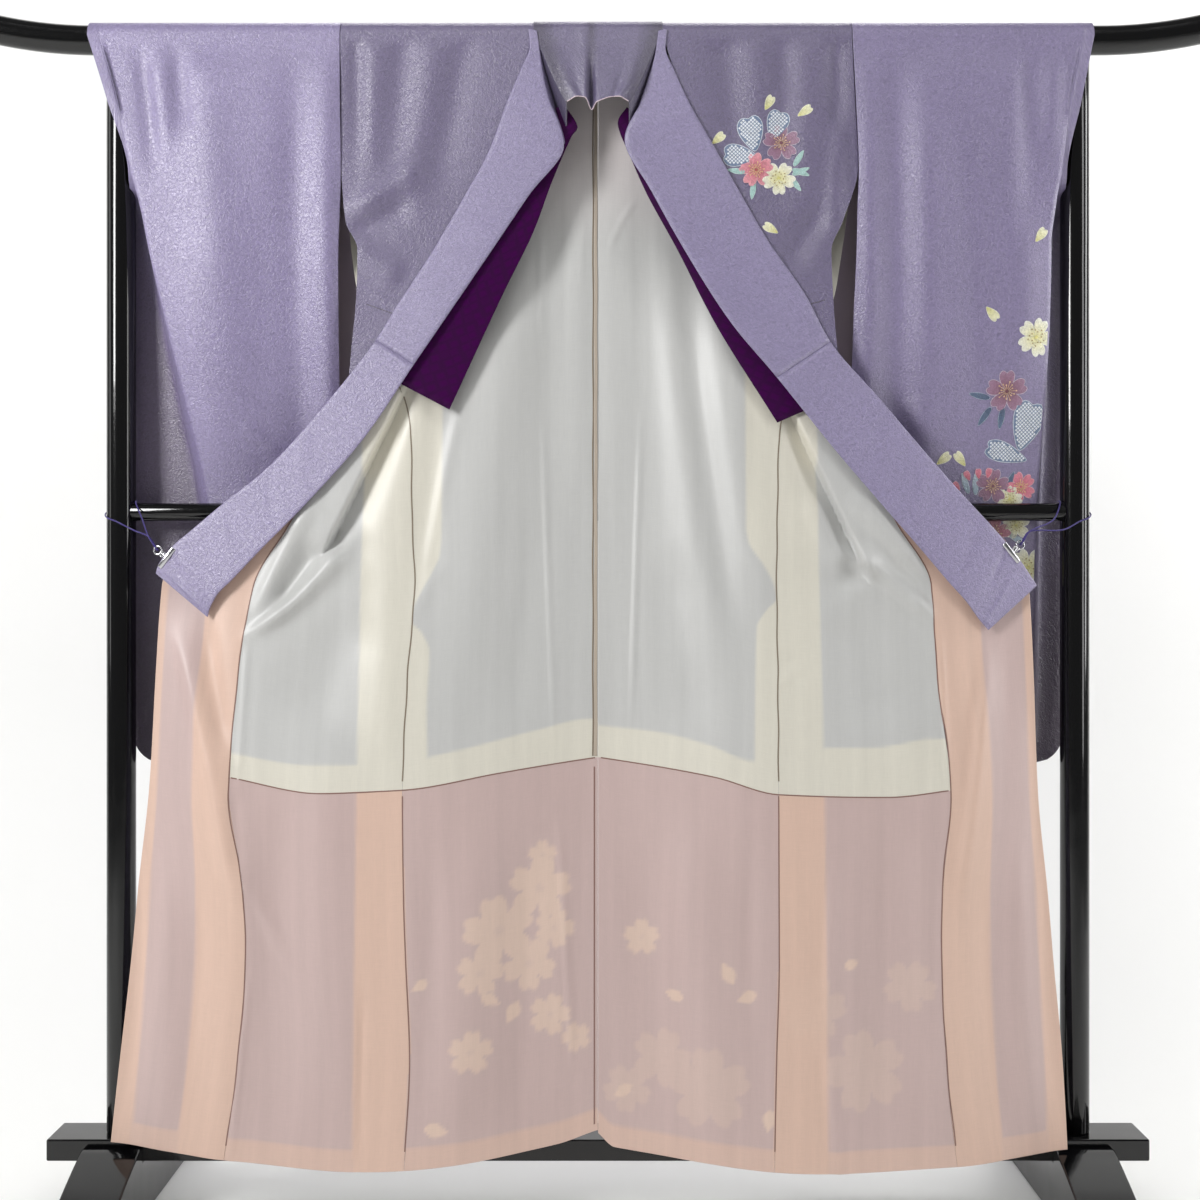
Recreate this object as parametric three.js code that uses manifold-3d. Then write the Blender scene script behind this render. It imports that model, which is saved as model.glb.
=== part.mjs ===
// A furisode kimono hung open on a lacquered kimono stand.
// Millimetres, +Z up. The front is toward -Y, the floor is z = 0 and the centre back seam is x = 0.
// The rail runs through both sleeves. The fronts are drawn apart and clipped to the posts by
// their collar ends, so below the collars the whole body is one opened sheet, lining forward.
// Tables give x as the distance out from the centre, for the side at -X (l) or +X (r).
import * as THREE from 'three';
import { mergeVertices } from 'three/addons/utils/BufferGeometryUtils.js';
import Module from 'manifold-3d';

const wasm = await Module();
wasm.setup();

// Stand
const RAIL_HEIGHT = 1633;
const RAIL_RADIUS = 20;
const RAIL_STRAIGHT = 700;
const RAIL_REACH = 900;
const RAIL_RISE = 30;
const POST_X = 667;
const POST_RADIUS = 20;
const CROSS_HEIGHT = 973;
const CROSS_RADIUS = 12.5;
const BAR_LENGTH = 1520;
const BAR_DEPTH = 75;
const BAR_BOTTOM = 77;
const BAR_THICKNESS = 30;
const FOOT_WIDTH = 81;
const FOOT_REACH = 240;
const FOOT_HEIGHT = 97;
const FOOT_TOE = 15;
const FOOT_FLAT = 50;
const FOOT_BEND = { y: 147, z: 68 }; // where the slopes of the foot's top would meet

// Cloth
const LAYER = 1;            // one layer, outer or lining
const CLEARANCE = 0.3;      // between layers, at seams and at seats
const COLLAR_THICKNESS = 3; // folded double
const ACCENT_THICKNESS = 1.6;
const TURN_RADIUS = 22.4;   // middle of the two layers where they pass over the rail
const NECK_HALF = 90;
const SHOULDER_TURN = 90;   // degrees round the rail, from the back, to the shoulder line
const NECK_TURN = 165;      // degrees round the rail to the neck seam
const SEAM_TURN = 1.5;      // degrees of clearance at the seams that lie on the rail
const NECK_BOW = 5;         // how far the middle of the neck collar stands forward of its sides

// Layers as offsets forward of the sheet's middle. The lining faces forward on the opened
// body, and the outer cloth faces forward on the shoulders and sleeves.
const HALF = CLEARANCE / 2;
const FORWARD = { near: HALF, far: HALF + LAYER };
const REARWARD = { near: -HALF - LAYER, far: -HALF };

// Heights of the sheet's levels, up to where the fronts leave the back, and the shares of each
// panel's width where its columns lie
const OPEN_TOP = 1195;
const HEM_LEVEL = 95;
const SEAM_LEVEL = 600;
const LOW_HEIGHTS = [230, 420];
const OPEN_HEIGHTS = [740, 830, 900, CROSS_HEIGHT, 1045, 1120, OPEN_TOP];
const UPPER_HEIGHTS = [1265, 1331, 1450, 1540, RAIL_HEIGHT];
const BACK_SHARES = [0, 0.126, 0.252, 0.38, 0.58, 0.79, 1];
const FRONT_SHARES = [0, 0.18, 0.36, 0.54, 0.77, 1];
const OKUMI_SHARES = [0, 0.35, 0.68, 1];
const SHOULDER_SHARES = [0, 0.17, 0.36, 0.56, 0.78, 1];
// Where a sleeve's columns lie: shares of its flat front, then of the side past the fold, which
// turns straight back before it goes on outward. turn is its share of the way to the back.
const SLEEVE_STATIONS = [
  { flat: 0, side: 0, turn: 0 }, { flat: 0.5, side: 0, turn: 0 }, { flat: 1, side: 0, turn: 0 },
  { flat: 1, side: 0.12, turn: 0.45 }, { flat: 1, side: 0.3, turn: 0.82 }, { flat: 1, side: 1, turn: 1 },
];
const NECK_SHARES = [-1, -0.75, -0.45, -0.2, -0.1, 0, 0.25, 0.5, 0.78, 1];
const NECK_COLUMNS = 2;     // of the back panel that go on to the neck seam
const COLLAR_COLUMNS = 2;
const TURN_STEP = 25;       // degrees round the rail between rows

// Clips and cords
const JAW_LENGTH = 33;
const JAW_DEPTH = 6;
const JAW_SHEET = 0.8;
const RING_RADIUS = 5.6;
const RING_WIRE = 1.3;
const SHANK_LENGTH = 9;
const SHANK_RADII = [2, 3];
const RING_CENTRE = -15;    // from the collar's sewn edge, away from the collar
const CORD_DIAMETER = 2;

// Height levels of the opened body: distance out and depth of each seam line.
const BODY = {
  l: [
    { z: 95, side: 260, okumi: 504, edge: 665, centreY: -42, sideY: -95, okumiY: -85, edgeY: -56 },
    { z: 230, side: 253, okumi: 485, edge: 651, centreY: -40, sideY: -92, okumiY: -86, edgeY: -57 },
    { z: 370, side: 259, okumi: 475, edge: 636, centreY: -38, sideY: -88, okumiY: -86, edgeY: -57 },
    { z: 450, side: 262, okumi: 478, edge: 629, centreY: -36, sideY: -85, okumiY: -84, edgeY: -55 },
    { z: 590, side: 264, okumi: 499, edge: 614, centreY: -31, sideY: -80, okumiY: -78, edgeY: -53 },
    { z: 750, side: 258, okumi: 489, edge: 606, centreY: -27, sideY: -70, okumiY: -66, edgeY: -48 },
    { z: 870, side: 250, okumi: 470, edge: 599, centreY: -21, sideY: -59, okumiY: -54, edgeY: -41 },
    { z: 960, side: 255, okumi: 417, edge: 538, centreY: -17, sideY: -51, okumiY: -50, edgeY: -45 },
    { z: 1029, side: 256, okumi: 374, edge: 448, centreY: -14, sideY: -46, okumiY: -46, edgeY: -44 },
    { z: 1080, side: 257, okumi: 343, edge: 396, centreY: -12, sideY: -43, okumiY: -44, edgeY: -44 },
    { z: 1195, side: 292, okumi: 303, edge: 306, centreY: -5, sideY: -38, okumiY: -40, edgeY: -40 },
  ],
  r: [
    { z: 95, side: 237, okumi: 484, edge: 641, centreY: -42, sideY: -95, okumiY: -85, edgeY: -56 },
    { z: 230, side: 240, okumi: 469, edge: 634, centreY: -40, sideY: -92, okumiY: -86, edgeY: -57 },
    { z: 370, side: 244, okumi: 462, edge: 622, centreY: -38, sideY: -88, okumiY: -86, edgeY: -57 },
    { z: 450, side: 244, okumi: 463, edge: 616, centreY: -36, sideY: -85, okumiY: -84, edgeY: -55 },
    { z: 590, side: 244, okumi: 477, edge: 603, centreY: -31, sideY: -80, okumiY: -78, edgeY: -53 },
    { z: 750, side: 244, okumi: 461, edge: 597, centreY: -27, sideY: -70, okumiY: -66, edgeY: -48 },
    { z: 870, side: 243, okumi: 455, edge: 592, centreY: -21, sideY: -59, okumiY: -54, edgeY: -41 },
    { z: 960, side: 245, okumi: 405, edge: 526, centreY: -17, sideY: -51, okumiY: -50, edgeY: -45 },
    { z: 1080, side: 249, okumi: 355, edge: 412, centreY: -12, sideY: -43, okumiY: -44, edgeY: -44 },
    { z: 1195, side: 296, okumi: 312, edge: 315, centreY: -5, sideY: -38, okumiY: -40, edgeY: -40 },
  ],
};

// Above the side seams: the back's centre and free edge, and the front shoulder panel between
// its armhole edge and the collar seam. The panel ends behind the collar.
const SHOULDER = {
  l: [
    { z: 1160, armhole: 341, armholeY: -46, collar: 334, collarY: -47,
      back: 278, backY: -39, centreY: -7 },
    { z: 1195, armhole: 338, armholeY: -46, collar: 303, collarY: -47,
      back: 292, backY: -38, centreY: -5 },
    { z: 1265, armhole: 332, armholeY: -43, collar: 258, collarY: -43,
      back: 330, backY: -24, centreY: 1 },
    { z: 1331, armhole: 330, armholeY: -40, collar: 217, collarY: -39.8,
      back: 344, backY: -4, centreY: 6 },
    { z: 1370, armhole: 347, armholeY: -38, collar: 195, collarY: -38,
      back: 349, backY: 8, centreY: 9 },
    { z: 1450, armhole: 354, armholeY: -32, collar: 150, collarY: -33,
      back: 354, backY: 22, centreY: 14 },
    { z: 1540, armhole: 356, armholeY: -26, collar: 115, collarY: -29,
      back: 356, backY: 23, centreY: 19 },
    { z: 1633, armhole: 357, armholeY: -22.4, collar: 90.4, collarY: -22.4,
      back: 357, backY: 22.4, centreY: 22.4 },
  ],
  r: [
    { z: 1160, armhole: 334, armholeY: -46, collar: 330, collarY: -47,
      back: 280, backY: -39, centreY: -7 },
    { z: 1195, armhole: 328, armholeY: -46, collar: 308, collarY: -47,
      back: 296, backY: -38, centreY: -5 },
    { z: 1265, armhole: 323, armholeY: -43, collar: 276, collarY: -43,
      back: 326, backY: -24, centreY: 1 },
    { z: 1331, armhole: 321, armholeY: -40, collar: 230, collarY: -40.2,
      back: 340, backY: -4, centreY: 6 },
    { z: 1370, armhole: 336, armholeY: -38, collar: 205, collarY: -38,
      back: 347, backY: 8, centreY: 9 },
    { z: 1450, armhole: 359, armholeY: -32, collar: 161, collarY: -33.6,
      back: 357, backY: 22, centreY: 14 },
    { z: 1540, armhole: 356, armholeY: -26, collar: 118, collarY: -29,
      back: 355, backY: 23, centreY: 19 },
    { z: 1633, armhole: 352, armholeY: -22.4, collar: 90.4, collarY: -22.4,
      back: 352, backY: 22.4, centreY: 22.4 },
  ],
};

// Heights of the hem and of the seam between lining and hem lining, by distance out.
const HEM = {
  l: [{ x: 0, z: 122 }, { x: 59, z: 104 }, { x: 187, z: 89 }, { x: 325, z: 82 }, { x: 504, z: 95 },
    { x: 665, z: 110 }],
  r: [{ x: 0, z: 118 }, { x: 23, z: 99 }, { x: 158, z: 88 }, { x: 312, z: 79 }, { x: 484, z: 86 },
    { x: 641, z: 100 }],
};
const LINING_SEAM = {
  l: [{ x: 0, z: 633 }, { x: 138, z: 613 }, { x: 265, z: 593 }, { x: 378, z: 589 }, { x: 503, z: 611 }],
  r: [{ x: 0, z: 633 }, { x: 159, z: 609 }, { x: 245, z: 587 }, { x: 390, z: 583 }, { x: 481, z: 593 }],
};

// The largest folds, as ridges from one end to the other. A positive rise comes forward.
const FOLDS = {
  l: [
    { x0: 250, z0: 930, x1: 470, z1: 812, width: 34, rise: 16 },  // swag from side seam to pinch
    { x0: 300, z0: 1040, x1: 372, z1: 925, width: 20, rise: -20 }, // hollow under the collar
    { x0: 440, z0: 880, x1: 484, z1: 808, width: 14, rise: 8 },
    { x0: 130, z0: 1180, x1: 165, z1: 640, width: 30, rise: 10 },  // long drapes of the back
    { x0: 60, z0: 1240, x1: 78, z1: 700, width: 22, rise: -6 },
    { x0: 560, z0: 780, x1: 570, z1: 180, width: 26, rise: -8 },
  ],
  r: [
    { x0: 285, z0: 960, x1: 462, z1: 822, width: 34, rise: 18 },
    { x0: 280, z0: 1060, x1: 350, z1: 905, width: 20, rise: -20 },
    { x0: 150, z0: 1190, x1: 190, z1: 640, width: 30, rise: 10 },
    { x0: 55, z0: 1240, x1: 66, z1: 700, width: 22, rise: -6 },
    { x0: 310, z0: 490, x1: 325, z1: 140, width: 18, rise: 9 },
    { x0: 545, z0: 780, x1: 555, z1: 180, width: 26, rise: -8 },
  ],
};

// Collar from the neck corner to its end: the sewn edge and the free edge.
const COLLAR = {
  l: [
    { seam: 89, seamZ: 1616, seamY: -27, free: 82, freeZ: 1613, freeY: -27 },
    { seam: 106, seamZ: 1581, seamY: -29, free: 76, freeZ: 1575, freeY: -30 },
    { seam: 123, seamZ: 1540, seamY: -32, free: 68, freeZ: 1540, freeY: -34 },
    { seam: 150, seamZ: 1466, seamY: -36, free: 48, freeZ: 1475, freeY: -42 },
    { seam: 182, seamZ: 1406, seamY: -39, free: 96, freeZ: 1405, freeY: -47 },
    { seam: 227, seamZ: 1327, seamY: -43, free: 149, freeZ: 1325, freeY: -52 },
    { seam: 274, seamZ: 1253, seamY: -47, free: 212, freeZ: 1231, freeY: -58 },
    { seam: 303, seamZ: 1205, seamY: -50, free: 252, freeZ: 1172, freeY: -60 },
    { seam: 366, seamZ: 1124, seamY: -51, free: 319, freeZ: 1072, freeY: -63 },
    { seam: 452, seamZ: 1029, seamY: -52, free: 400, freeZ: 980, freeY: -65 },
    { seam: 512, seamZ: 981, seamY: -52, free: 460, freeZ: 919, freeY: -66 },
    { seam: 556, seamZ: 944, seamY: -51, free: 499, freeZ: 878, freeY: -66 },
    { seam: 582, seamZ: 922, seamY: -50, free: 519, freeZ: 858, freeY: -65 },
    { seam: 602, seamZ: 896, seamY: -48, free: 530, freeZ: 838, freeY: -62 },
    { seam: 605, seamZ: 886, seamY: -47, free: 533, freeZ: 828, freeY: -60 },
  ],
  r: [
    { seam: 87, seamZ: 1614, seamY: -27, free: 81, freeZ: 1610, freeY: -27 },
    { seam: 104, seamZ: 1581, seamY: -30, free: 70, freeZ: 1569, freeY: -30 },
    { seam: 124, seamZ: 1537, seamY: -33, free: 58, freeZ: 1533, freeY: -34 },
    { seam: 161, seamZ: 1470, seamY: -37, free: 38, freeZ: 1482, freeY: -42 },
    { seam: 193, seamZ: 1412, seamY: -40, free: 75, freeZ: 1410, freeY: -47 },
    { seam: 233, seamZ: 1342, seamY: -43, free: 118, freeZ: 1332, freeY: -52 },
    { seam: 283, seamZ: 1268, seamY: -47, free: 182, freeZ: 1230, freeY: -58 },
    { seam: 317, seamZ: 1203, seamY: -50, free: 245, freeZ: 1154, freeY: -61 },
    { seam: 385, seamZ: 1124, seamY: -51, free: 325, freeZ: 1054, freeY: -63 },
    { seam: 440, seamZ: 1059, seamY: -52, free: 387, freeZ: 981, freeY: -65 },
    { seam: 490, seamZ: 1002, seamY: -52, free: 440, freeZ: 920, freeY: -66 },
    { seam: 540, seamZ: 948, seamY: -51, free: 480, freeZ: 873, freeY: -66 },
    { seam: 557, seamZ: 929, seamY: -50, free: 501, freeZ: 850, freeY: -65 },
    { seam: 578, seamZ: 903, seamY: -48, free: 519, freeZ: 826, freeY: -62 },
    { seam: 601, seamZ: 869, seamY: -46, free: 533, freeZ: 810, freeY: -60 },
  ],
};
const COVER_END = 7; // row where the over-collar ends and the collar below it shows

// Accent collar: its hidden edge lies behind the collar, its free edge shows inside.
const ACCENT = {
  l: [
    { hid: 58, hidZ: 1531, hidY: -27, free: 44, freeZ: 1531, freeY: -27 },
    { hid: 52, hidZ: 1500, hidY: -31, free: 29, freeZ: 1504, freeY: -28 },
    { hid: 70, hidZ: 1470, hidY: -37, free: 37, freeZ: 1490, freeY: -30 },
    { hid: 108, hidZ: 1416, hidY: -42, free: 65, freeZ: 1424, freeY: -35 },
    { hid: 145, hidZ: 1350, hidY: -46, free: 88, freeZ: 1360, freeY: -39 },
    { hid: 200, hidZ: 1262, hidY: -51, free: 133, freeZ: 1266, freeY: -44 },
    { hid: 282, hidZ: 1152, hidY: -53, free: 204, freeZ: 1111, freeY: -51 },
  ],
  r: [
    { hid: 56, hidZ: 1524, hidY: -27, free: 40, freeZ: 1531, freeY: -27 },
    { hid: 48, hidZ: 1498, hidY: -31, free: 28, freeZ: 1508, freeY: -29 },
    { hid: 72, hidZ: 1452, hidY: -38, free: 47, freeZ: 1457, freeY: -34 },
    { hid: 92, hidZ: 1410, hidY: -43, free: 66, freeZ: 1413, freeY: -37 },
    { hid: 135, hidZ: 1335, hidY: -48, free: 110, freeZ: 1331, freeY: -42 },
    { hid: 195, hidZ: 1246, hidY: -53, free: 160, freeZ: 1232, freeY: -47 },
    { hid: 290, hidZ: 1112, hidY: -54, free: 246, freeZ: 1093, freeY: -52 },
  ],
};

// Back-neck collar, flopped forward over the rail: half width and depth going down.
const NECK = [
  { half: 78, z: 1619, y: -26 },
  { half: 72, z: 1597, y: -33 },
  { half: 62, z: 1572, y: -40 },
  { half: 52, z: 1550, y: -45 },
  { half: 43, z: 1533, y: -48 },
];
const NECK_CREASE = { x: -9, width: 7, depth: 13, notch: 11 };

// Sleeve sections going down: open inner edge in front and behind, soft fold, outer edge, and
// the depth of each wall at its middle and at the outer edge.
const SLEEVE = {
  l: [
    { z: 1633, inner: 357.8, backInner: 357.8, fold: 690, outer: 708,
      front: -22.4, frontEdge: -22.4, back: 22.4, backEdge: 22.4 },
    { z: 1541, inner: 356.8, backInner: 356.8, fold: 664, outer: 678,
      front: -27, frontEdge: -30, back: 23, backEdge: 26 },
    { z: 1440, inner: 354.8, backInner: 354.8, fold: 643, outer: 652,
      front: -32, frontEdge: -26, back: 26, backEdge: 30 },
    { z: 1390, inner: 356, backInner: 350, fold: 630, outer: 641,
      front: -32, frontEdge: 4, back: 32, backEdge: 18 },
    { z: 1340, inner: 358, backInner: 342, fold: 620, outer: 650,
      front: -32, frontEdge: 24, back: 38, backEdge: 29 },
    { z: 1240, inner: 359, backInner: 334, fold: 598, outer: 662,
      front: -24, frontEdge: 28, back: 43, backEdge: 33 },
    { z: 1129, inner: 360, backInner: 337, fold: 574, outer: 664,
      front: -6, frontEdge: 31, back: 46, backEdge: 35 },
    { z: 985, inner: 360, backInner: 350, fold: 547, outer: 664,
      front: 18, frontEdge: 34, back: 48, backEdge: 38 },
    { z: 800, inner: 360, backInner: 358, fold: 535, outer: 664,
      front: 24, frontEdge: 37, back: 52, backEdge: 41 },
    { z: 660, inner: 361, backInner: 359, fold: 535, outer: 662,
      front: 31, frontEdge: 40, back: 50, backEdge: 44 },
    { z: 618, inner: 363, backInner: 361, fold: 535, outer: 648,
      front: 39, frontEdge: 39, back: 43, backEdge: 43 },
  ],
  r: [
    { z: 1633, inner: 352.8, backInner: 352.8, fold: 672, outer: 688,
      front: -22.4, frontEdge: -22.4, back: 22.4, backEdge: 22.4 },
    { z: 1541, inner: 356.8, backInner: 356.8, fold: 652, outer: 668,
      front: -27, frontEdge: -30, back: 23, backEdge: 26 },
    { z: 1440, inner: 359.8, backInner: 357.8, fold: 638, outer: 650,
      front: -32, frontEdge: -26, back: 26, backEdge: 30 },
    { z: 1390, inner: 358, backInner: 348, fold: 630, outer: 642,
      front: -32, frontEdge: 4, back: 32, backEdge: 18 },
    { z: 1340, inner: 357, backInner: 338, fold: 624, outer: 650,
      front: -32, frontEdge: 24, back: 38, backEdge: 29 },
    { z: 1240, inner: 354, backInner: 328, fold: 624, outer: 656,
      front: -24, frontEdge: 30, back: 43, backEdge: 35 },
    { z: 1129, inner: 353, backInner: 332, fold: 622, outer: 658,
      front: -6, frontEdge: 33, back: 46, backEdge: 37 },
    { z: 985, inner: 353, backInner: 343, fold: 618, outer: 660,
      front: 18, frontEdge: 35, back: 48, backEdge: 39 },
    { z: 800, inner: 353, backInner: 351, fold: 616, outer: 660,
      front: 24, frontEdge: 37, back: 52, backEdge: 41 },
    { z: 660, inner: 354, backInner: 352, fold: 616, outer: 660,
      front: 31, frontEdge: 40, back: 50, backEdge: 44 },
    { z: 618, inner: 356, backInner: 354, fold: 600, outer: 648,
      front: 39, frontEdge: 39, back: 43, backEdge: 43 },
  ],
};
// Route of each tie cord's loop round its post, above the crossbar. out is measured from the
// post's axis toward the centre. Both ends then run to the fork and through the clip's ring.
const CORD_LOOP = [
  { out: 37, y: -27, z: 961 },
  { out: 22.2, y: -8, z: 986.8 },
  { out: 21.6, y: 4, z: 988 },
  { out: 12, y: 18.2, z: 986 },
  { out: -5, y: 21.2, z: 983 },
  { out: -18, y: 12.2, z: 977 },
  { out: -21.6, y: -3, z: 970 },
  { out: -14.5, y: -16.2, z: 964 },
  { out: -1, y: -21.9, z: 959 },
  { out: 25, y: -33, z: 947 },
];
const CORD_FORK = { out: -12, y: 0, z: 18 };   // from the ring's centre
const CORD_SPREAD = { ring: 3.1, fork: 1.4 }; // of the two strands, in front and behind

// Finish of each material
const FINISH = {
  lacquer: { color: '#0a0a0b', roughness: 0.12, metalness: 0 },
  crepe: { color: '#a297bd', roughness: 0.75, metalness: 0 },
  lining: { color: '#d8d7d4', roughness: 0.5, metalness: 0 },
  hemLining: { color: '#e0bfae', roughness: 0.5, metalness: 0 },
  accent: { color: '#4a0a64', roughness: 0.7, metalness: 0 },
  chrome: { color: '#d9dadc', roughness: 0.15, metalness: 1 },
  cord: { color: '#2f1a78', roughness: 0.8, metalness: 0 },
};

const kimono = new THREE.Group();

function addPart(name, geometry, finish, position = [0, 0, 0]) {
  const mesh = new THREE.Mesh(geometry, new THREE.MeshStandardMaterial({ ...FINISH[finish] }));
  mesh.name = name;
  mesh.position.set(...position);
  kimono.add(mesh);
}

function closedGeometry(corners, triangles) {
  const geometry = new THREE.BufferGeometry();
  geometry.setAttribute('position', new THREE.Float32BufferAttribute(corners, 3));
  geometry.setIndex(triangles);
  return geometry;
}

function toSolid(geometry) {
  const plain = geometry.clone();
  plain.deleteAttribute('normal');
  plain.deleteAttribute('uv');
  const merged = mergeVertices(plain, 1e-4);
  return new wasm.Manifold(new wasm.Mesh({
    numProp: 3,
    vertProperties: new Float32Array(merged.attributes.position.array),
    triVerts: new Uint32Array(merged.index.array),
  }));
}

function fromSolid(solid) {
  const mesh = solid.getMesh();
  return closedGeometry(Array.from(mesh.vertProperties), Array.from(mesh.triVerts));
}

// Value of a named column at one place in a table, along a smooth monotone curve.
function valueAt(rows, key, at, place) {
  const last = rows.length - 1;
  const place0 = Math.min(Math.max(place, Math.min(rows[0][at], rows[last][at])),
    Math.max(rows[0][at], rows[last][at]));
  let i = 0;
  while (i < last - 1 && (rows[i + 1][at] - place0) * (rows[last][at] - rows[0][at]) < 0) {
    i += 1;
  }
  const slope = (k) => (k < 0 || k >= last ? 0
    : (rows[k + 1][key] - rows[k][key]) / (rows[k + 1][at] - rows[k][at]));
  const blend = (a, b) => (a * b <= 0 ? 0 : (2 * a * b) / (a + b));
  const span = rows[i + 1][at] - rows[i][at];
  const t = (place0 - rows[i][at]) / span;
  const m0 = i === 0 ? slope(0) : blend(slope(i - 1), slope(i));
  const m1 = i === last - 1 ? slope(i) : blend(slope(i), slope(i + 1));
  const t2 = t * t;
  const t3 = t2 * t;
  return (2 * t3 - 3 * t2 + 1) * rows[i][key] + (t3 - 2 * t2 + t) * span * m0
    + (3 * t2 - 2 * t3) * rows[i + 1][key] + (t3 - t2) * span * m1;
}

function smooth(a, b, value) {
  const t = Math.min(Math.max((value - a) / (b - a), 0), 1);
  return t * t * (3 - 2 * t);
}

// Normals of a grid of points, from its neighbours.
function gridNormals(points) {
  const rows = points.length;
  const columns = points[0].length;
  return points.map((row, r) => row.map((_, c) => {
    const across = new THREE.Vector3().subVectors(
      points[r][Math.min(c + 1, columns - 1)], points[r][Math.max(c - 1, 0)]);
    const along = new THREE.Vector3().subVectors(
      points[Math.min(r + 1, rows - 1)][c], points[Math.max(r - 1, 0)][c]);
    return across.cross(along).normalize();
  }));
}

// A closed wall between two offsets from a grid of points.
function wall(points, normals, near, far) {
  const rows = points.length;
  const columns = points[0].length;
  const corners = [];
  for (const offset of [far, near]) {
    points.forEach((row, r) => row.forEach((point, c) => {
      corners.push(...point.clone().addScaledVector(normals[r][c], offset).toArray());
    }));
  }
  const top = (r, c) => r * columns + c;
  const under = (r, c) => rows * columns + r * columns + c;
  const triangles = [];
  const quad = (a, b, c, d) => triangles.push(a, b, c, a, c, d);
  for (let r = 0; r < rows - 1; r += 1) {
    for (let c = 0; c < columns - 1; c += 1) {
      quad(top(r, c), top(r, c + 1), top(r + 1, c + 1), top(r + 1, c));
      quad(under(r, c), under(r + 1, c), under(r + 1, c + 1), under(r, c + 1));
    }
  }
  for (let c = 0; c < columns - 1; c += 1) {
    quad(under(0, c), under(0, c + 1), top(0, c + 1), top(0, c));
    quad(top(rows - 1, c), top(rows - 1, c + 1), under(rows - 1, c + 1), under(rows - 1, c));
  }
  for (let r = 0; r < rows - 1; r += 1) {
    quad(top(r, 0), top(r + 1, 0), under(r + 1, 0), under(r, 0));
    const end = columns - 1;
    quad(under(r, end), under(r + 1, end), top(r + 1, end), top(r, end));
  }
  return closedGeometry(corners, triangles);
}

// Reverses each row, so that a mirrored grid still faces the same way.
function mirrored(grid) {
  return grid.map((row) => row.map((p) => new THREE.Vector3(-p.x, p.y, p.z)).reverse());
}

// Depth of the folds of the opened body sheet.
function foldDepth(side, x, z) {
  let depth = 0;
  for (const fold of FOLDS[side]) {
    const dx = fold.x1 - fold.x0;
    const dz = fold.z1 - fold.z0;
    const along = ((x - fold.x0) * dx + (z - fold.z0) * dz) / (dx * dx + dz * dz);
    const t = Math.min(Math.max(along, 0), 1);
    const away = Math.hypot(x - fold.x0 - t * dx, z - fold.z0 - t * dz);
    // full in the middle of the ridge, and a third as high at its ends
    const height = fold.rise * Math.sin(Math.PI * (0.1 + 0.8 * t));
    depth -= height * Math.exp(-((away / fold.width) ** 2));
  }
  return depth;
}

// Depth of the opened body sheet at a distance out and a height.
function bodyDepth(side, x, z) {
  const above = z > OPEN_TOP;
  const rows = above ? SHOULDER[side] : BODY[side];
  const column = (key) => valueAt(rows, key, 'z', z);
  const stops = [{ x: 0, y: column('centreY') }];
  if (above) {
    stops.push({ x: column('back'), y: column('backY') });
  } else {
    stops.push({ x: column('side'), y: column('sideY') });
    stops.push({ x: column('okumi'), y: column('okumiY') });
    stops.push({ x: column('edge'), y: column('edgeY') });
  }
  let i = 0;
  while (i < stops.length - 2 && x > stops[i + 1].x) {
    i += 1;
  }
  const share = smooth(stops[i].x, stops[i + 1].x, x);
  return stops[i].y + share * (stops[i + 1].y - stops[i].y) + foldDepth(side, x, z);
}

// Points and normals of a panel of the opened sheet. inner and outer give its two long edges
// by height, and each level is a height or a height that changes with the distance out.
function bodyPanel(side, inner, outer, shares, levels) {
  const step = 2;
  const points = levels.map(({ z, by }) => shares.map((share) => {
    const x = inner(z) + share * (outer(z) - inner(z));
    const height = by ? by(x) : z;
    return new THREE.Vector3(x, bodyDepth(side, x, height), height);
  }));
  const normals = points.map((row) => row.map((p) => new THREE.Vector3(
    (bodyDepth(side, p.x + step, p.z) - bodyDepth(side, p.x - step, p.z)) / (2 * step),
    -1,
    (bodyDepth(side, p.x, p.z + step) - bodyDepth(side, p.x, p.z - step)) / (2 * step),
  ).normalize()));
  return { points, normals };
}

// Point and outward normal of the cloth where it lies over the rail, in degrees from the back.
function overRail(x, degrees) {
  const angle = THREE.MathUtils.degToRad(degrees);
  const normal = new THREE.Vector3(0, Math.cos(angle), Math.sin(angle));
  const point = new THREE.Vector3(x, 0, RAIL_HEIGHT).addScaledVector(normal, TURN_RADIUS);
  return { point, normal };
}

// Adds rows that carry a sheet round the rail, with its normals pointing at the rail.
function appendTurn(grid, across, from, to) {
  const begin = grid.points.length > 0 ? 1 : 0;
  const steps = Math.round((to - from) / TURN_STEP);
  for (let step = begin; step <= steps; step += 1) {
    const turned = across.map((x) => overRail(x, from + ((to - from) * step) / steps));
    grid.points.push(turned.map((t) => t.point));
    grid.normals.push(turned.map((t) => t.normal.clone().negate()));
  }
}

// One layer of a cloth piece whose grid is given for the side at +X.
function layerGeometry(side, grid, layer) {
  const points = side === 'l' ? mirrored(grid.points) : grid.points;
  const normals = side === 'l' ? mirrored(grid.normals) : grid.normals;
  return wall(points, normals, layer.near, layer.far);
}

function addLayer(name, side, grid, layer, finish) {
  addPart(`${name}_${side}`, layerGeometry(side, grid, layer), finish);
}

function plainLevels(heights) {
  return heights.map((z) => ({ z }));
}

// Levels from the hem up to the first height under the seam between lining and hem lining.
function hemLevels(side) {
  const hem = { z: HEM_LEVEL, by: (x) => valueAt(HEM[side], 'z', 'x', x) };
  return [hem, ...plainLevels(LOW_HEIGHTS)];
}

function liningSeam(side, shift) {
  return { z: SEAM_LEVEL, by: (x) => valueAt(LINING_SEAM[side], 'z', 'x', x) + shift };
}

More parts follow.
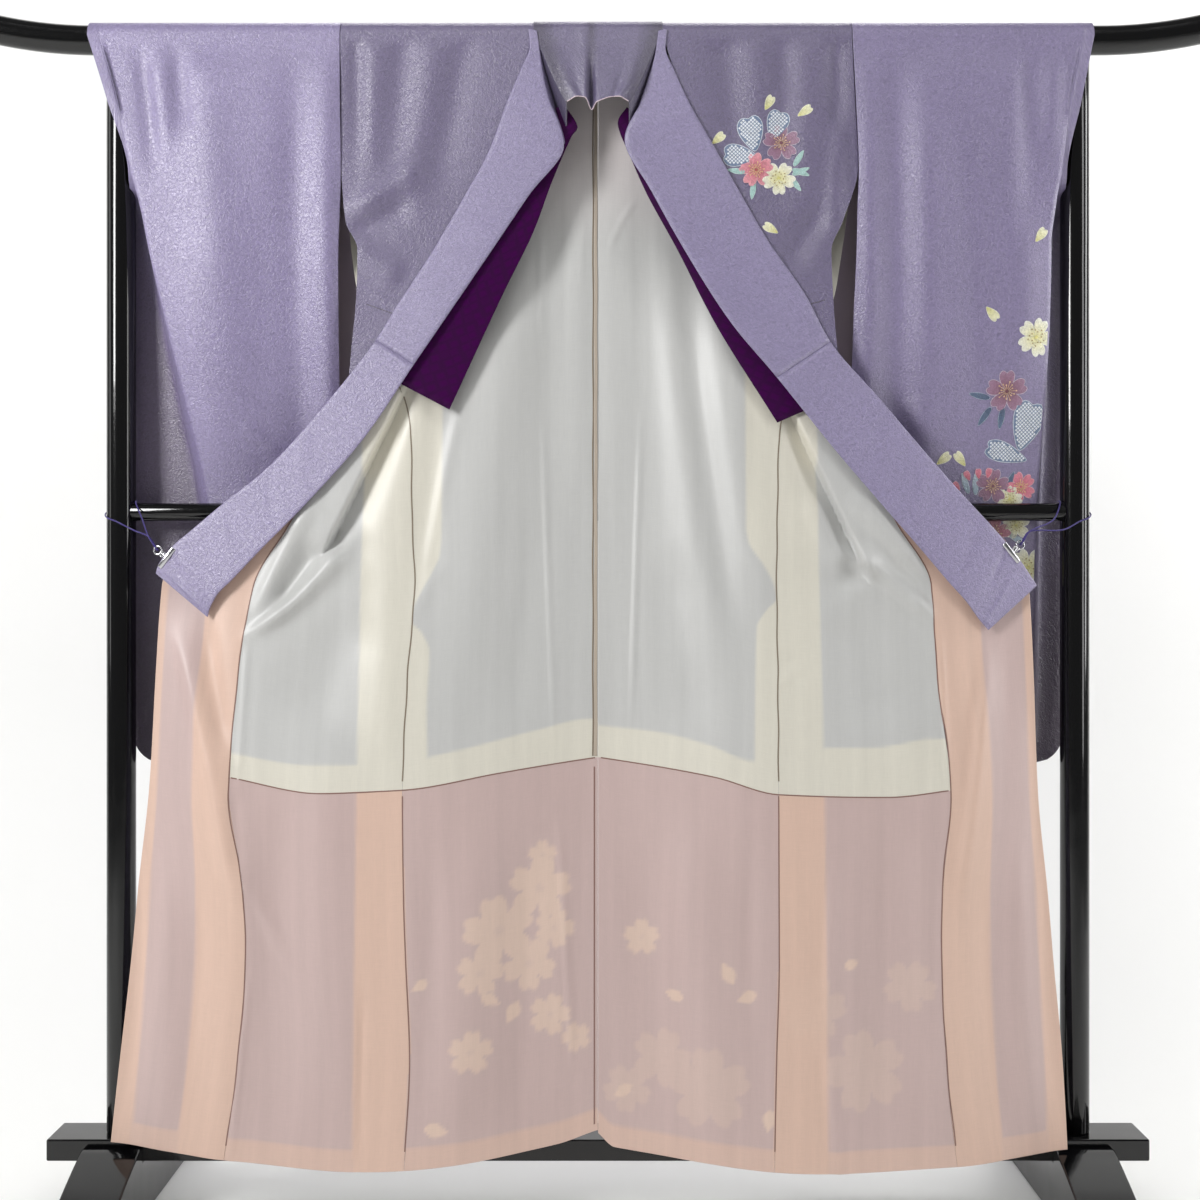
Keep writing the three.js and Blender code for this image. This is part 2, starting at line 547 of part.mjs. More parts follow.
// Back half: from the hem up, over the rail to the shoulder line and, at the neck, to its seam.
function addBack(side) {
  const edge = (z) => (z > OPEN_TOP ? valueAt(SHOULDER[side], 'back', 'z', z)
    : valueAt(BODY[side], 'side', 'z', z)) - HALF;
  const centre = () => HALF;
  const hemLining = [...hemLevels(side), liningSeam(side, -HALF)];
  const lining = [liningSeam(side, HALF), ...plainLevels([...OPEN_HEIGHTS, ...UPPER_HEIGHTS])];
  const back = bodyPanel(side, centre, edge, BACK_SHARES, lining);
  const top = back.points[back.points.length - 1].map((p) => p.x);
  appendTurn(back, top, 0, SHOULDER_TURN);
  const neck = { points: [], normals: [] };
  appendTurn(neck, top.slice(0, NECK_COLUMNS + 1), SHOULDER_TURN, NECK_TURN);
  const lower = bodyPanel(side, centre, edge, BACK_SHARES, hemLining);
  const whole = {
    points: [...lower.points, ...back.points.slice(1)],
    normals: [...lower.normals, ...back.normals.slice(1)],
  };
  const withNeck = (grid, layer) => fromSolid(
    toSolid(layerGeometry(side, grid, layer)).add(toSolid(layerGeometry(side, neck, layer))));
  addPart(`back_outer_${side}`, withNeck(whole, REARWARD), 'crepe');
  addPart(`back_lining_${side}`, withNeck(back, FORWARD), 'lining');
  addLayer('back_hem_lining', side, lower, FORWARD, 'hemLining');
}

// Front and okumi below the collar: both end along the collar seam.
function addFronts(side) {
  const line = (key, shift) => (z) => valueAt(BODY[side], key, 'z', z) + shift;
  const low = hemLevels(side);
  const high = plainLevels(OPEN_HEIGHTS);
  const full = [...low, liningSeam(side, 0), ...high];
  const [inner, outer] = [line('side', HALF), line('okumi', -HALF)];
  const front = (levels) => bodyPanel(side, inner, outer, FRONT_SHARES, levels);
  addLayer('front_outer', side, front(full), REARWARD, 'crepe');
  addLayer('front_lining', side, front([liningSeam(side, HALF), ...high]), FORWARD, 'lining');
  const hemLining = front([...low, liningSeam(side, -HALF)]);
  addLayer('front_hem_lining', side, hemLining, FORWARD, 'hemLining');

  const okumi = bodyPanel(side, line('okumi', HALF), line('edge', 0), OKUMI_SHARES, full);
  addLayer('okumi_outer', side, okumi, REARWARD, 'crepe');
  addLayer('okumi_lining', side, okumi, FORWARD, 'hemLining');
}

// Front shoulder panel: over the rail from the shoulder line, then down to the collar seam.
function addShoulder(side) {
  const points = SHOULDER[side].map((row) => SHOULDER_SHARES.map((share) => new THREE.Vector3(
    row.collar + share * (row.armhole - row.collar),
    row.collarY + share * (row.armholeY - row.collarY),
    row.z,
  )));
  const normals = gridNormals(points);
  normals[normals.length - 1].forEach((normal) => normal.set(0, -1, 0));
  const hung = points[points.length - 1];
  const seam = SHOULDER_TURN + SEAM_TURN;
  const steps = Math.round((180 - seam) / TURN_STEP);
  for (let step = 1; step <= steps; step += 1) {
    const degrees = 180 - ((180 - seam) * step) / steps;
    const turned = hung.map((p) => overRail(p.x, degrees));
    points.push(turned.map((t) => t.point));
    normals.push(turned.map((t) => t.normal));
  }
  addLayer('shoulder_outer', side, { points, normals }, FORWARD, 'crepe');
  addLayer('shoulder_lining', side, { points, normals }, REARWARD, 'lining');
}

// Sleeve: one length of cloth from the front's bottom, over the rail, to the back's bottom.
function addSleeve(side) {
  const rows = SLEEVE[side];
  const across = (row, inner) => SLEEVE_STATIONS.map(({ flat, side: past }) => (
    inner + flat * (row.fold - inner) + past * (row.outer - row.fold)));
  const wallRow = (row, inner, depth, edgeDepth, share) => across(row, inner).map((x, c) => (
    new THREE.Vector3(x, depth + (edgeDepth - depth) * SLEEVE_STATIONS[c][share], row.z)));
  const frontRow = (row) => wallRow(row, row.inner, row.front, row.frontEdge, 'turn');
  const backRow = (row) => wallRow(row, row.backInner, row.back, row.backEdge, 'side');
  const points = [...rows].reverse().map(frontRow);
  const hung = across(rows[0], rows[0].inner);
  const steps = Math.round(180 / TURN_STEP);
  for (let step = steps - 1; step > 0; step -= 1) {
    points.push(hung.map((x) => overRail(x, (180 * step) / steps).point));
  }
  points.push(...rows.map(backRow));
  const normals = gridNormals(points);
  addLayer('sleeve_outer', side, { points, normals }, FORWARD, 'crepe');
  addLayer('sleeve_lining', side, { points, normals }, REARWARD, 'lining');
}

// A flat strip between two edges, row by row.
function stripGrid(rows, first, second, columns) {
  const points = rows.map((row) => {
    const a = new THREE.Vector3(row[first], row[`${first}Y`], row[`${first}Z`]);
    const b = new THREE.Vector3(row[second], row[`${second}Y`], row[`${second}Z`]);
    return Array.from({ length: columns + 1 }, (_, c) => a.clone().lerp(b, c / columns));
  });
  return { points, normals: gridNormals(points) };
}

function addCollar(side) {
  const { points, normals } = stripGrid(COLLAR[side], 'seam', 'free', COLLAR_COLUMNS);
  const half = { near: -COLLAR_THICKNESS / 2, far: COLLAR_THICKNESS / 2 };
  const part = (from, to) => ({ points: points.slice(from, to), normals: normals.slice(from, to) });
  const cover = part(0, COVER_END + 1);
  const plain = part(COVER_END);
  // the plain collar starts a seam's gap below the end of the over-collar
  plain.points[0] = plain.points[0].map((p, c) => {
    return p.clone().lerp(plain.points[1][c], CLEARANCE / p.distanceTo(plain.points[1][c]));
  });
  addLayer('over_collar', side, cover, half, 'crepe');
  addLayer('collar', side, plain, half, 'crepe');
  const accent = stripGrid(ACCENT[side], 'hid', 'free', COLLAR_COLUMNS);
  const thin = { near: -ACCENT_THICKNESS / 2, far: ACCENT_THICKNESS / 2 };
  addLayer('accent_collar', side, accent, thin, 'accent');
}

// Back-neck part of the collar, from the neck seam over the rail's front, with its middle crease.
function addNeckCollar() {
  const seam = NECK_SHARES.map((share) => overRail(share * NECK_HALF, NECK_TURN + SEAM_TURN));
  const points = [seam.map((t) => t.point)];
  for (const row of NECK) {
    const fall = smooth(NECK[0].z, NECK[NECK.length - 1].z, row.z);
    points.push(NECK_SHARES.map((share) => {
      const x = share * row.half;
      const crease = Math.exp(-(((x - NECK_CREASE.x) / NECK_CREASE.width) ** 2)) * fall;
      const bow = NECK_BOW * fall * (1 - share * share);
      const y = row.y - bow + NECK_CREASE.depth * crease;
      return new THREE.Vector3(x, y, row.z - NECK_CREASE.notch * crease);
    }));
  }
  points.reverse();
  addPart('neck_collar', wall(points, gridNormals(points), -LAYER, LAYER), 'crepe');
}

// Top rail: straight between the sleeves, with both ends sweeping up.
function addRail() {
  const section = new THREE.Shape().absarc(0, 0, RAIL_RADIUS, 0, 2 * Math.PI);
  const knee = (RAIL_STRAIGHT + RAIL_REACH) / 2;
  const at = (x, rise) => new THREE.Vector3(x, 0, RAIL_HEIGHT + rise);
  const sweep = (sign) => [
    at(sign * RAIL_REACH, RAIL_RISE), at(sign * knee, 0), at(sign * RAIL_STRAIGHT, 0)];
  const path = new THREE.CurvePath();
  path.add(new THREE.QuadraticBezierCurve3(...sweep(-1)));
  path.add(new THREE.LineCurve3(at(-RAIL_STRAIGHT, 0), at(RAIL_STRAIGHT, 0)));
  path.add(new THREE.QuadraticBezierCurve3(...sweep(1).reverse()));
  addPart('top_rail', new THREE.ExtrudeGeometry(section, {
    extrudePath: path, steps: 36, curveSegments: 16, bevelEnabled: false,
  }), 'lacquer');
}

// Posts, feet, crossbar and base bar. The posts are hollowed to seat the rail.
function addStand() {
  const rod = (radius, length) => new THREE.CylinderGeometry(radius, radius, length, 32);
  const lyingRod = (radius, length) => rod(radius, length).rotateZ(Math.PI / 2);
  const standingRod = (radius, length) => rod(radius, length).rotateX(Math.PI / 2);
  const barTop = BAR_BOTTOM + BAR_THICKNESS;
  const postFoot = barTop + CLEARANCE;
  const railSeat = lyingRod(RAIL_RADIUS + CLEARANCE, 4 * POST_RADIUS).translate(0, 0, RAIL_HEIGHT);
  const postBlank = standingRod(POST_RADIUS, RAIL_HEIGHT - postFoot)
    .translate(0, 0, (RAIL_HEIGHT + postFoot) / 2);
  const post = fromSolid(toSolid(postBlank).subtract(toSolid(railSeat)));
  let crossbar = toSolid(lyingRod(CROSS_RADIUS, 2 * POST_X).translate(0, 0, CROSS_HEIGHT));
  for (const [side, x] of [['l', -POST_X], ['r', POST_X]]) {
    addPart(`post_${side}`, post, 'lacquer', [x, 0, 0]);
    addPart(`foot_${side}`, footGeometry(), 'lacquer', [x - FOOT_WIDTH / 2, 0, 0]);
    const socket = standingRod(POST_RADIUS + CLEARANCE, 4 * CROSS_RADIUS);
    crossbar = crossbar.subtract(toSolid(socket.translate(x, 0, CROSS_HEIGHT)));
  }
  addPart('crossbar', fromSolid(crossbar), 'lacquer');
  addPart('base_bar', new THREE.BoxGeometry(BAR_LENGTH, BAR_DEPTH, BAR_THICKNESS), 'lacquer',
    [0, 0, BAR_BOTTOM + BAR_THICKNESS / 2]);
}

// Foot: flat below, rounded toward both toes, notched for the base bar. Drawn in Y and Z.
function footGeometry() {
  const notch = BAR_DEPTH / 2 + CLEARANCE;
  const floor = BAR_BOTTOM - CLEARANCE;
  const shape = new THREE.Shape();
  shape.moveTo(-FOOT_REACH, 0);
  shape.lineTo(FOOT_REACH, 0);
  shape.lineTo(FOOT_REACH, FOOT_TOE);
  shape.quadraticCurveTo(FOOT_BEND.y, FOOT_BEND.z, FOOT_FLAT, FOOT_HEIGHT);
  shape.lineTo(notch, FOOT_HEIGHT);
  shape.lineTo(notch, floor);
  shape.lineTo(-notch, floor);
  shape.lineTo(-notch, FOOT_HEIGHT);
  shape.lineTo(-FOOT_FLAT, FOOT_HEIGHT);
  shape.quadraticCurveTo(-FOOT_BEND.y, FOOT_BEND.z, -FOOT_REACH, FOOT_TOE);
  shape.closePath();
  const settings = { depth: FOOT_WIDTH, bevelEnabled: false, curveSegments: 12 };
  return new THREE.ExtrudeGeometry(shape, settings).rotateX(Math.PI / 2).rotateZ(Math.PI / 2);
}

// Place of the clip on the sewn edge near the collar's end. X points into the collar and Z
// along its edge.
function clipFrame(side) {
  const rows = COLLAR[side];
  const upper = rows[rows.length - 3];
  const lower = rows[rows.length - 2];
  const sign = side === 'l' ? -1 : 1;
  const sewn = (row) => new THREE.Vector3(sign * row.seam, row.seamY, row.seamZ);
  const free = (row) => new THREE.Vector3(sign * row.free, row.freeY, row.freeZ);
  const edge = sewn(upper).sub(sewn(lower)).normalize();
  const inward = free(upper).sub(sewn(upper));
  inward.addScaledVector(edge, -inward.dot(edge)).normalize();
  const through = new THREE.Vector3().crossVectors(edge, inward);
  const middle = sewn(upper).lerp(sewn(lower), 0.5);
  return new THREE.Matrix4().makeBasis(inward, through, edge).setPosition(middle);
}

// Clip: a folded jaw over the collar's edge, a shank and the ring for the cord.
function addClip(side) {
  const gap = COLLAR_THICKNESS / 2 + CLEARANCE;
  const outside = gap + JAW_SHEET;
  const spine = -CLEARANCE - JAW_SHEET;
  const jaw = new THREE.Shape();
  jaw.moveTo(spine, -outside);
  jaw.lineTo(JAW_DEPTH, -outside);
  jaw.lineTo(JAW_DEPTH, -gap);
  jaw.lineTo(-CLEARANCE, -gap);
  jaw.lineTo(-CLEARANCE, gap);
  jaw.lineTo(JAW_DEPTH, gap);
  jaw.lineTo(JAW_DEPTH, outside);
  jaw.lineTo(spine, outside);
  jaw.closePath();
  const channel = new THREE.ExtrudeGeometry(jaw, { depth: JAW_LENGTH, bevelEnabled: false })
    .translate(0, 0, -JAW_LENGTH / 2);
  const shank = new THREE.CylinderGeometry(...SHANK_RADII, SHANK_LENGTH, 16).rotateZ(Math.PI / 2)
    .translate(spine - SHANK_LENGTH / 2 + JAW_SHEET / 2, 0, 0);
  const ring = new THREE.TorusGeometry(RING_RADIUS, RING_WIRE, 8, 24)
    .rotateX(Math.PI / 2).translate(RING_CENTRE, 0, 0);
  const clip = fromSolid(toSolid(channel).add(toSolid(shank)).add(toSolid(ring)));
  addPart(`clip_${side}`, clip.applyMatrix4(clipFrame(side)), 'chrome');
}

function addCord(side) {
  const sign = side === 'l' ? -1 : 1;
  const ring = new THREE.Vector3(RING_CENTRE, 0, 0).applyMatrix4(clipFrame(side));
  const fromRing = (share, spread) => ring.clone().add(new THREE.Vector3(
    -sign * share * CORD_FORK.out, share * CORD_FORK.y + spread, share * CORD_FORK.z));
  const strand = (front) => [
    fromRing(0, front * CORD_SPREAD.ring),
    fromRing(0.4, front * CORD_SPREAD.ring),
    fromRing(1, front * CORD_SPREAD.fork),
  ];
  const loop = CORD_LOOP.map(({ out, y, z }) => new THREE.Vector3(sign * (POST_X - out), y, z));
  const route = [...strand(-1), ...loop, ...strand(1).reverse()];
  const section = new THREE.Shape().absarc(0, 0, CORD_DIAMETER / 2, 0, 2 * Math.PI);
  addPart(`cord_${side}`, new THREE.ExtrudeGeometry(section, {
    extrudePath: new THREE.CatmullRomCurve3(route, false, 'centripetal'),
    steps: 56,
    curveSegments: 4,
    bevelEnabled: false,
  }), 'cord');
}

addRail();
addStand();
addNeckCollar();
for (const side of ['l', 'r']) {
  addBack(side);
  addFronts(side);
  addShoulder(side);
  addSleeve(side);
  addCollar(side);
  addClip(side);
  addCord(side);
}

export default kimono;
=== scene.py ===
import math

import bpy
import numpy as np
from mathutils import Matrix, Vector


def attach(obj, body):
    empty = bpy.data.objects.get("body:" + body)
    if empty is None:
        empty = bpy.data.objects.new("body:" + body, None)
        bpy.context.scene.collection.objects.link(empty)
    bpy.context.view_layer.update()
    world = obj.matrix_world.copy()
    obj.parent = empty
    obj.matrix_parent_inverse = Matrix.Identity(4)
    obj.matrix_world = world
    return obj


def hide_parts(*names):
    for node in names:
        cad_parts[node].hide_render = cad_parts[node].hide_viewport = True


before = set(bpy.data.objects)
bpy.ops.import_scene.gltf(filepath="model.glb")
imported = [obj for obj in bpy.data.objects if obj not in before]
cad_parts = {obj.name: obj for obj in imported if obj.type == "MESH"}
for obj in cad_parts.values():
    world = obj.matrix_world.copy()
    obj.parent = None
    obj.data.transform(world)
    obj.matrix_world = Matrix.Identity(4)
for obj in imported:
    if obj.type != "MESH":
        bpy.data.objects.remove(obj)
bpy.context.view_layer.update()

# The view: straight on, at half the height of the stand. Colours are shown as they are, with no
# film curve. All sizes below are in millimetres, turned to metres where a mesh is made.
MM = 0.001
CAMERA_PLACE = (2.8, -2300, 850)
CAMERA_LENS = 49.3
SENSOR_WIDTH = 36.0

camera_data = bpy.data.cameras.new("camera")
camera_data.lens = CAMERA_LENS
camera_data.sensor_width = SENSOR_WIDTH
camera = bpy.data.objects.new("camera", camera_data)
camera.location = Vector(CAMERA_PLACE) * MM
camera.rotation_euler = (math.radians(90), 0, 0)
bpy.context.scene.collection.objects.link(camera)
bpy.context.scene.camera = camera
bpy.context.scene.view_settings.view_transform = "Standard"


# Tie cords. Deep violet silk, braided round and 2 mm thick. Each leaves the ring of its clip,
# passes round the post just above the crossbar and comes back to the ring, drawn tight.
SIDES = {"l": -1, "r": 1}
POST_X = 667
CORD_DIAMETER = 2
CORD_LOOP = [  # out from the post's axis, depth, height
    (37, -27, 961), (22.2, -8, 986.8), (21.6, 4, 988), (12, 18.2, 986), (-5, 21.2, 983),
    (-18, 12.2, 977), (-21.6, -3, 970), (-14.5, -16.2, 964), (-1, -21.9, 959), (25, -33, 947),
]
CORD_FORK = (-12, 0, 18)  # where the two strands part, from the ring's centre
CORD_GAP = {"ring": 3.1, "fork": 1.4}
RING_REACH = 15  # from the collar's edge to the ring's centre
COLLAR_END = {   # sewn edge above and below the clip, and the free edge above it
    "l": {"upper": (-582, -50, 922), "lower": (-602, -48, 896), "free": (-519, -65, 858)},
    "r": {"upper": (557, -50, 929), "lower": (578, -48, 903), "free": (501, -65, 850)},
}
CORD_VIOLET = "#2C1673"


def linear(colour):
    """The linear value of an sRGB hex colour, with full opacity."""
    channels = [int(colour[i:i + 2], 16) / 255 for i in (1, 3, 5)]
    return tuple(c / 12.92 if c <= 0.04045 else ((c + 0.055) / 1.055) ** 2.4 for c in channels) + (1.0,)


def new_material(name, **shader_values):
    """A material with only a Principled shader, and the values of its sockets."""
    material = bpy.data.materials.new(name)
    material.use_nodes = True
    shader = material.node_tree.nodes["Principled BSDF"]
    for socket, value in shader_values.items():
        shader.inputs[socket.replace("_", " ")].default_value = value
    return material


def add_node(material, kind, settings=None, **inputs):
    """Adds a node. Each input, by its socket's name or _number, is a value or (node, output)."""
    tree = material.node_tree
    node = tree.nodes.new(kind)
    for name, value in (settings or {}).items():
        setattr(node, name, value)
    for name, value in inputs.items():
        socket = node.inputs[int(name[1:]) if name[1:].isdigit() else name.replace("_", " ")]
        if isinstance(value, tuple) and isinstance(value[0], bpy.types.Node):
            tree.links.new(value[0].outputs[value[1]], socket)
        else:
            socket.default_value = value
    return node


def join_shader(material, node, output, socket):
    """Links a node's output to a socket of the material's shader."""
    shader = material.node_tree.nodes["Principled BSDF"]
    material.node_tree.links.new(node.outputs[output], shader.inputs[socket])


def put_in_place(piece, node, slot):
    """Sets a piece on the only body, in place of a solid. slot is not used."""
    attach(piece, "root")
    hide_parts(node)


def clip_frame(side):
    """Matrix of the clip's place: X into the collar, Z along its sewn edge."""
    upper, lower, free = (Vector(COLLAR_END[side][key]) for key in ("upper", "lower", "free"))
    edge = (upper - lower).normalized()
    inward = free - upper
    inward = (inward - edge * inward.dot(edge)).normalized()
    matrix = Matrix((inward, edge.cross(inward), edge)).transposed().to_4x4()
    matrix.translation = (upper + lower) / 2
    return matrix


def flowing_line(points, steps):
    """A centripetal curve through the points, with that many steps between each two."""
    points = [Vector(p) for p in points]
    points = [2 * points[0] - points[1]] + points + [2 * points[-1] - points[-2]]
    line = []
    for a, b, c, d in zip(points, points[1:], points[2:], points[3:]):
        ta, tb, tc = ((q - p).length ** 0.5 for p, q in ((a, b), (b, c), (c, d)))
        leave = ((b - a) / ta - (c - a) / (ta + tb) + (c - b) / tb) * tb
        arrive = ((c - b) / tb - (d - b) / (tb + tc) + (d - c) / tc) * tb
        for step in range(steps):
            t = step / steps
            line.append(b + leave * t + (3 * (c - b) - 2 * leave - arrive) * t * t
                        + (2 * (b - c) + leave + arrive) * t ** 3)
    return line + [points[-2]]


# braided silk: short slanting floats of thread, each about 1 mm long
cord_silk = new_material("braided_silk", Base_Color=linear(CORD_VIOLET), Roughness=0.55,
                         Sheen_Weight=0.3)
place = add_node(cord_silk, "ShaderNodeTexCoord")
braid = add_node(cord_silk, "ShaderNodeTexWave", {"bands_direction": "DIAGONAL"},
                 Vector=(place, "Object"), Scale=320.0, Distortion=1.0)
braid_bump = add_node(cord_silk, "ShaderNodeBump", Height=(braid, "Fac"), Strength=0.6, Distance=0.0004)
join_shader(cord_silk, braid_bump, "Normal", "Normal")

for side, sign in SIDES.items():
    ring = clip_frame(side) @ Vector((-RING_REACH, 0, 0))
    fork = ring + Vector((-sign * CORD_FORK[0], CORD_FORK[1], CORD_FORK[2]))
    strands = []
    for front in (-1, 1):
        beside = Vector((0, front * CORD_GAP["ring"], 0))
        strands.append([ring + beside, ring.lerp(fork, 0.4) + beside,
                        fork + Vector((0, front * CORD_GAP["fork"], 0))])
    loop = [Vector((sign * (POST_X - out), y, z)) for out, y, z in CORD_LOOP]
    route = flowing_line(strands[0] + loop + strands[1][::-1], 10)
    curve = bpy.data.curves.new(f"tie_cord_{side}", "CURVE")
    curve.dimensions = "3D"
    curve.bevel_depth = CORD_DIAMETER / 2 * MM
    curve.bevel_resolution = 3
    spline = curve.splines.new("POLY")
    spline.points.add(len(route) - 1)
    for point, target in zip(spline.points, route):
        point.co = (*(target * MM), 1)
    curve.materials.append(cord_silk)
    cord = bpy.data.objects.new(f"tie_cord_{side}", curve)
    bpy.context.scene.collection.objects.link(cord)
    put_in_place(cord, f"cord_{side}", "tie_cord")
    length = sum((b - a).length for a, b in zip(route, route[1:])) * MM


# Clips. Nickel-plated steel, pressed from sheet: a folded jaw over the edge of the collar, held
# shut by a spring inside its back, with a flat tongue and a wire ring for the cord.
JAW_LENGTH = 33
JAW_DEPTH = 6
JAW_OUTSIDE = 2.6  # half the jaw's thickness
JAW_SHEET = 0.8
TONGUE = (9, 2.2, 7)  # length, thickness, width where it leaves the jaw
RING_RADIUS = 5.6
RING_WIRE = 1.3
SPRING_RADIUS, SPRING_WIRE = 3.4, 0.8
RING_STEPS, WIRE_STEPS = 32, 10  # of the rings' meshes, round the ring and round the wire
NICKEL = "#CFCFD2"

nickel = new_material("plated_nickel", Base_Color=linear(NICKEL), Metallic=1.0, Roughness=0.16)
place = add_node(nickel, "ShaderNodeTexCoord")
# fine drawing lines left by the press, under 1 mm apart
scuffs = add_node(nickel, "ShaderNodeTexNoise", Vector=(place, "Object"), Scale=900.0, Detail=3.0)
scuff_roughness = add_node(nickel, "ShaderNodeMapRange", Value=(scuffs, "Fac"), To_Min=0.1, To_Max=0.28)
join_shader(nickel, scuff_roughness, "Result", "Roughness")


def mesh_piece(name, points, faces, material):
    """A smoothly shaded object from points in millimetres."""
    mesh = bpy.data.meshes.new(name)
    mesh.from_pydata((np.asarray(points, float) * MM).tolist(), [], [tuple(f) for f in faces])
    mesh.materials.append(material)
    mesh.polygons.foreach_set("use_smooth", [True] * len(mesh.polygons))
    mesh.update()
    piece = bpy.data.objects.new(name, mesh)
    bpy.context.scene.collection.objects.link(piece)
    return piece


def grid_faces(rows, columns, ring=False):
    """Quads between the points of a grid, closed on itself along its columns if it is a ring."""
    i = np.arange(rows * columns).reshape(rows, columns)
    if ring:
        i = np.concatenate([i, i[:, :1]], axis=1)
    return np.stack([i[:-1, :-1], i[:-1, 1:], i[1:, 1:], i[1:, :-1]], -1).reshape(-1, 4).tolist()


def round_bar(sections):
    """Points and faces of a closed bar through rings of points, all of one size."""
    rows, columns = len(sections), len(sections[0])
    points = [p for section in sections for p in section]
    faces = grid_faces(rows, columns, ring=True)
    faces.append(list(range(columns))[::-1])
    faces.append(list(range((rows - 1) * columns, rows * columns)))
    return points, faces


for side in SIDES:
    points, faces = [], []

    def weld(more_points, more_faces):
        """Adds a part to the clip's one mesh."""
        start = len(points)
        points.extend(more_points)
        faces.extend([[i + start for i in face] for face in more_faces])

    # jaw: a bent sheet, drawn as its section and carried along the collar's edge
    bend = [(math.cos(a), math.sin(a)) for a in np.linspace(math.pi / 2, 3 * math.pi / 2, 9)]
    outside = ([(JAW_DEPTH, JAW_OUTSIDE)] + [(JAW_OUTSIDE * 0.6 * c, JAW_OUTSIDE * s) for c, s in bend]
               + [(JAW_DEPTH, -JAW_OUTSIDE)])
    inner = JAW_OUTSIDE - JAW_SHEET
    inside = ([(JAW_DEPTH, -inner)] + [(inner * 0.5 * c, inner * s) for c, s in bend[::-1]]
              + [(JAW_DEPTH, inner)])
    ends = [(-0.5, 0.86), (-0.47, 1), (0.47, 1), (0.5, 0.86)]
    weld(*round_bar([[(x, y * full, z * JAW_LENGTH) for x, y in outside + inside] for z, full in ends]))
    # tongue: narrows from the jaw's back to the ring
    tongue_length, tongue_thick, tongue_wide = TONGUE
    tongue = []
    for share in (0, 0.15, 0.5, 0.85, 1):
        half = tongue_wide / 2 * (1 - 0.55 * share)
        rim = [(math.cos(a), math.sin(a)) for a in np.linspace(0, 2 * math.pi, 12, endpoint=False)]
        tongue.append([(-JAW_OUTSIDE * 0.4 - share * tongue_length, tongue_thick / 2 * s, half * c)
                       for c, s in rim])
    weld(*round_bar(tongue))
    # ring and the two small turns of spring wire beside it
    for centre, radius, wire, tilt in ((-RING_REACH, RING_RADIUS, RING_WIRE, 0.0),
                                       (-5.5, SPRING_RADIUS, SPRING_WIRE, 0.5),
                                       (-6.8, SPRING_RADIUS, SPRING_WIRE, -0.4)):
        torus = []
        for around in np.linspace(0, 2 * math.pi, RING_STEPS, endpoint=False):
            section = []
            for turn in np.linspace(0, 2 * math.pi, WIRE_STEPS, endpoint=False):
                reach = radius + wire * math.cos(turn)
                out, up = reach * math.cos(around), reach * math.sin(around)
                section.append((centre + out, wire * math.sin(turn) + tilt * up, up))
            torus.append(section)
        last = (RING_STEPS - 1) * WIRE_STEPS
        closing = [[last + i, last + (i + 1) % WIRE_STEPS, (i + 1) % WIRE_STEPS, i]
                   for i in range(WIRE_STEPS)]
        weld([p for section in torus for p in section],
             grid_faces(RING_STEPS, WIRE_STEPS, ring=True) + closing)
    place = clip_frame(side)
    clip = mesh_piece(f"collar_clip_{side}", [place @ Vector(p) for p in points], faces, nickel)
    put_in_place(clip, f"clip_{side}", "clip_metal")


# Stand. Straight-grained wood, turned or planed, then built up with black urushi lacquer and
# polished to a mirror. The rail rests on the posts, and the base bar is let into both feet.
RAIL_HEIGHT, RAIL_RADIUS = 1633, 20
RAIL_STRAIGHT, RAIL_REACH, RAIL_RISE = 700, 900, 30
POST_RADIUS = 20
CROSS_HEIGHT, CROSS_RADIUS = 973, 12.5
BAR_LENGTH, BAR_DEPTH, BAR_BOTTOM, BAR_THICKNESS = 1520, 75, 77, 30
FOOT_WIDTH, FOOT_REACH, FOOT_HEIGHT, FOOT_TOE, FOOT_FLAT = 81, 240, 97, 15, 50
FOOT_BEND = (147, 68)
EDGE_ROUND = 2.5  # edges are eased before lacquering
LACQUER_BLACK = "#060607"

# polished lacquer: a clear hard coat over black, with the slight waviness of hand polishing,
# about 60 mm from crest to crest, and a haze of fine dust
lacquer = new_material("urushi_lacquer", Base_Color=linear(LACQUER_BLACK), Roughness=0.1,
                       IOR=1.54)
place = add_node(lacquer, "ShaderNodeTexCoord")
waves = add_node(lacquer, "ShaderNodeTexNoise", Vector=(place, "Object"), Scale=16.0, Detail=1.0)
wave_bump = add_node(lacquer, "ShaderNodeBump", Height=(waves, "Fac"), Strength=0.25, Distance=0.002)
join_shader(lacquer, wave_bump, "Normal", "Normal")
dust = add_node(lacquer, "ShaderNodeTexNoise", Vector=(place, "Object"), Scale=700.0, Detail=4.0)
haze = add_node(lacquer, "ShaderNodeMapRange", Value=(dust, "Fac"), From_Min=0.4, From_Max=0.75,
                To_Min=0.07, To_Max=0.2)
join_shader(lacquer, haze, "Result", "Roughness")


def rod_sections(line, radius, sides=64):
    """Round sections along a line of points in the XZ plane, with eased ends."""
    line = [Vector(p) for p in line]
    first, last = line[0], line[-1]
    start, end = (line[1] - first).normalized(), (last - line[-2]).normalized()
    ease = [(0, radius - EDGE_ROUND), (0.3 * EDGE_ROUND, radius - 0.3 * EDGE_ROUND),
            (EDGE_ROUND, radius)]
    stations = [(first + start * along, start, size) for along, size in ease]
    for before, here, after in zip(line, line[1:], line[2:]):
        stations.append((here, (after - before).normalized(), radius))
    stations += [(last - end * along, end, size) for along, size in ease[::-1]]
    across = Vector((0, 1, 0))
    sections = []
    for centre, along, size in stations:
        up = along.cross(across)
        sections.append([centre + (across * math.cos(a) + up * math.sin(a)) * size
                         for a in np.linspace(0, 2 * math.pi, sides, endpoint=False)])
    return sections


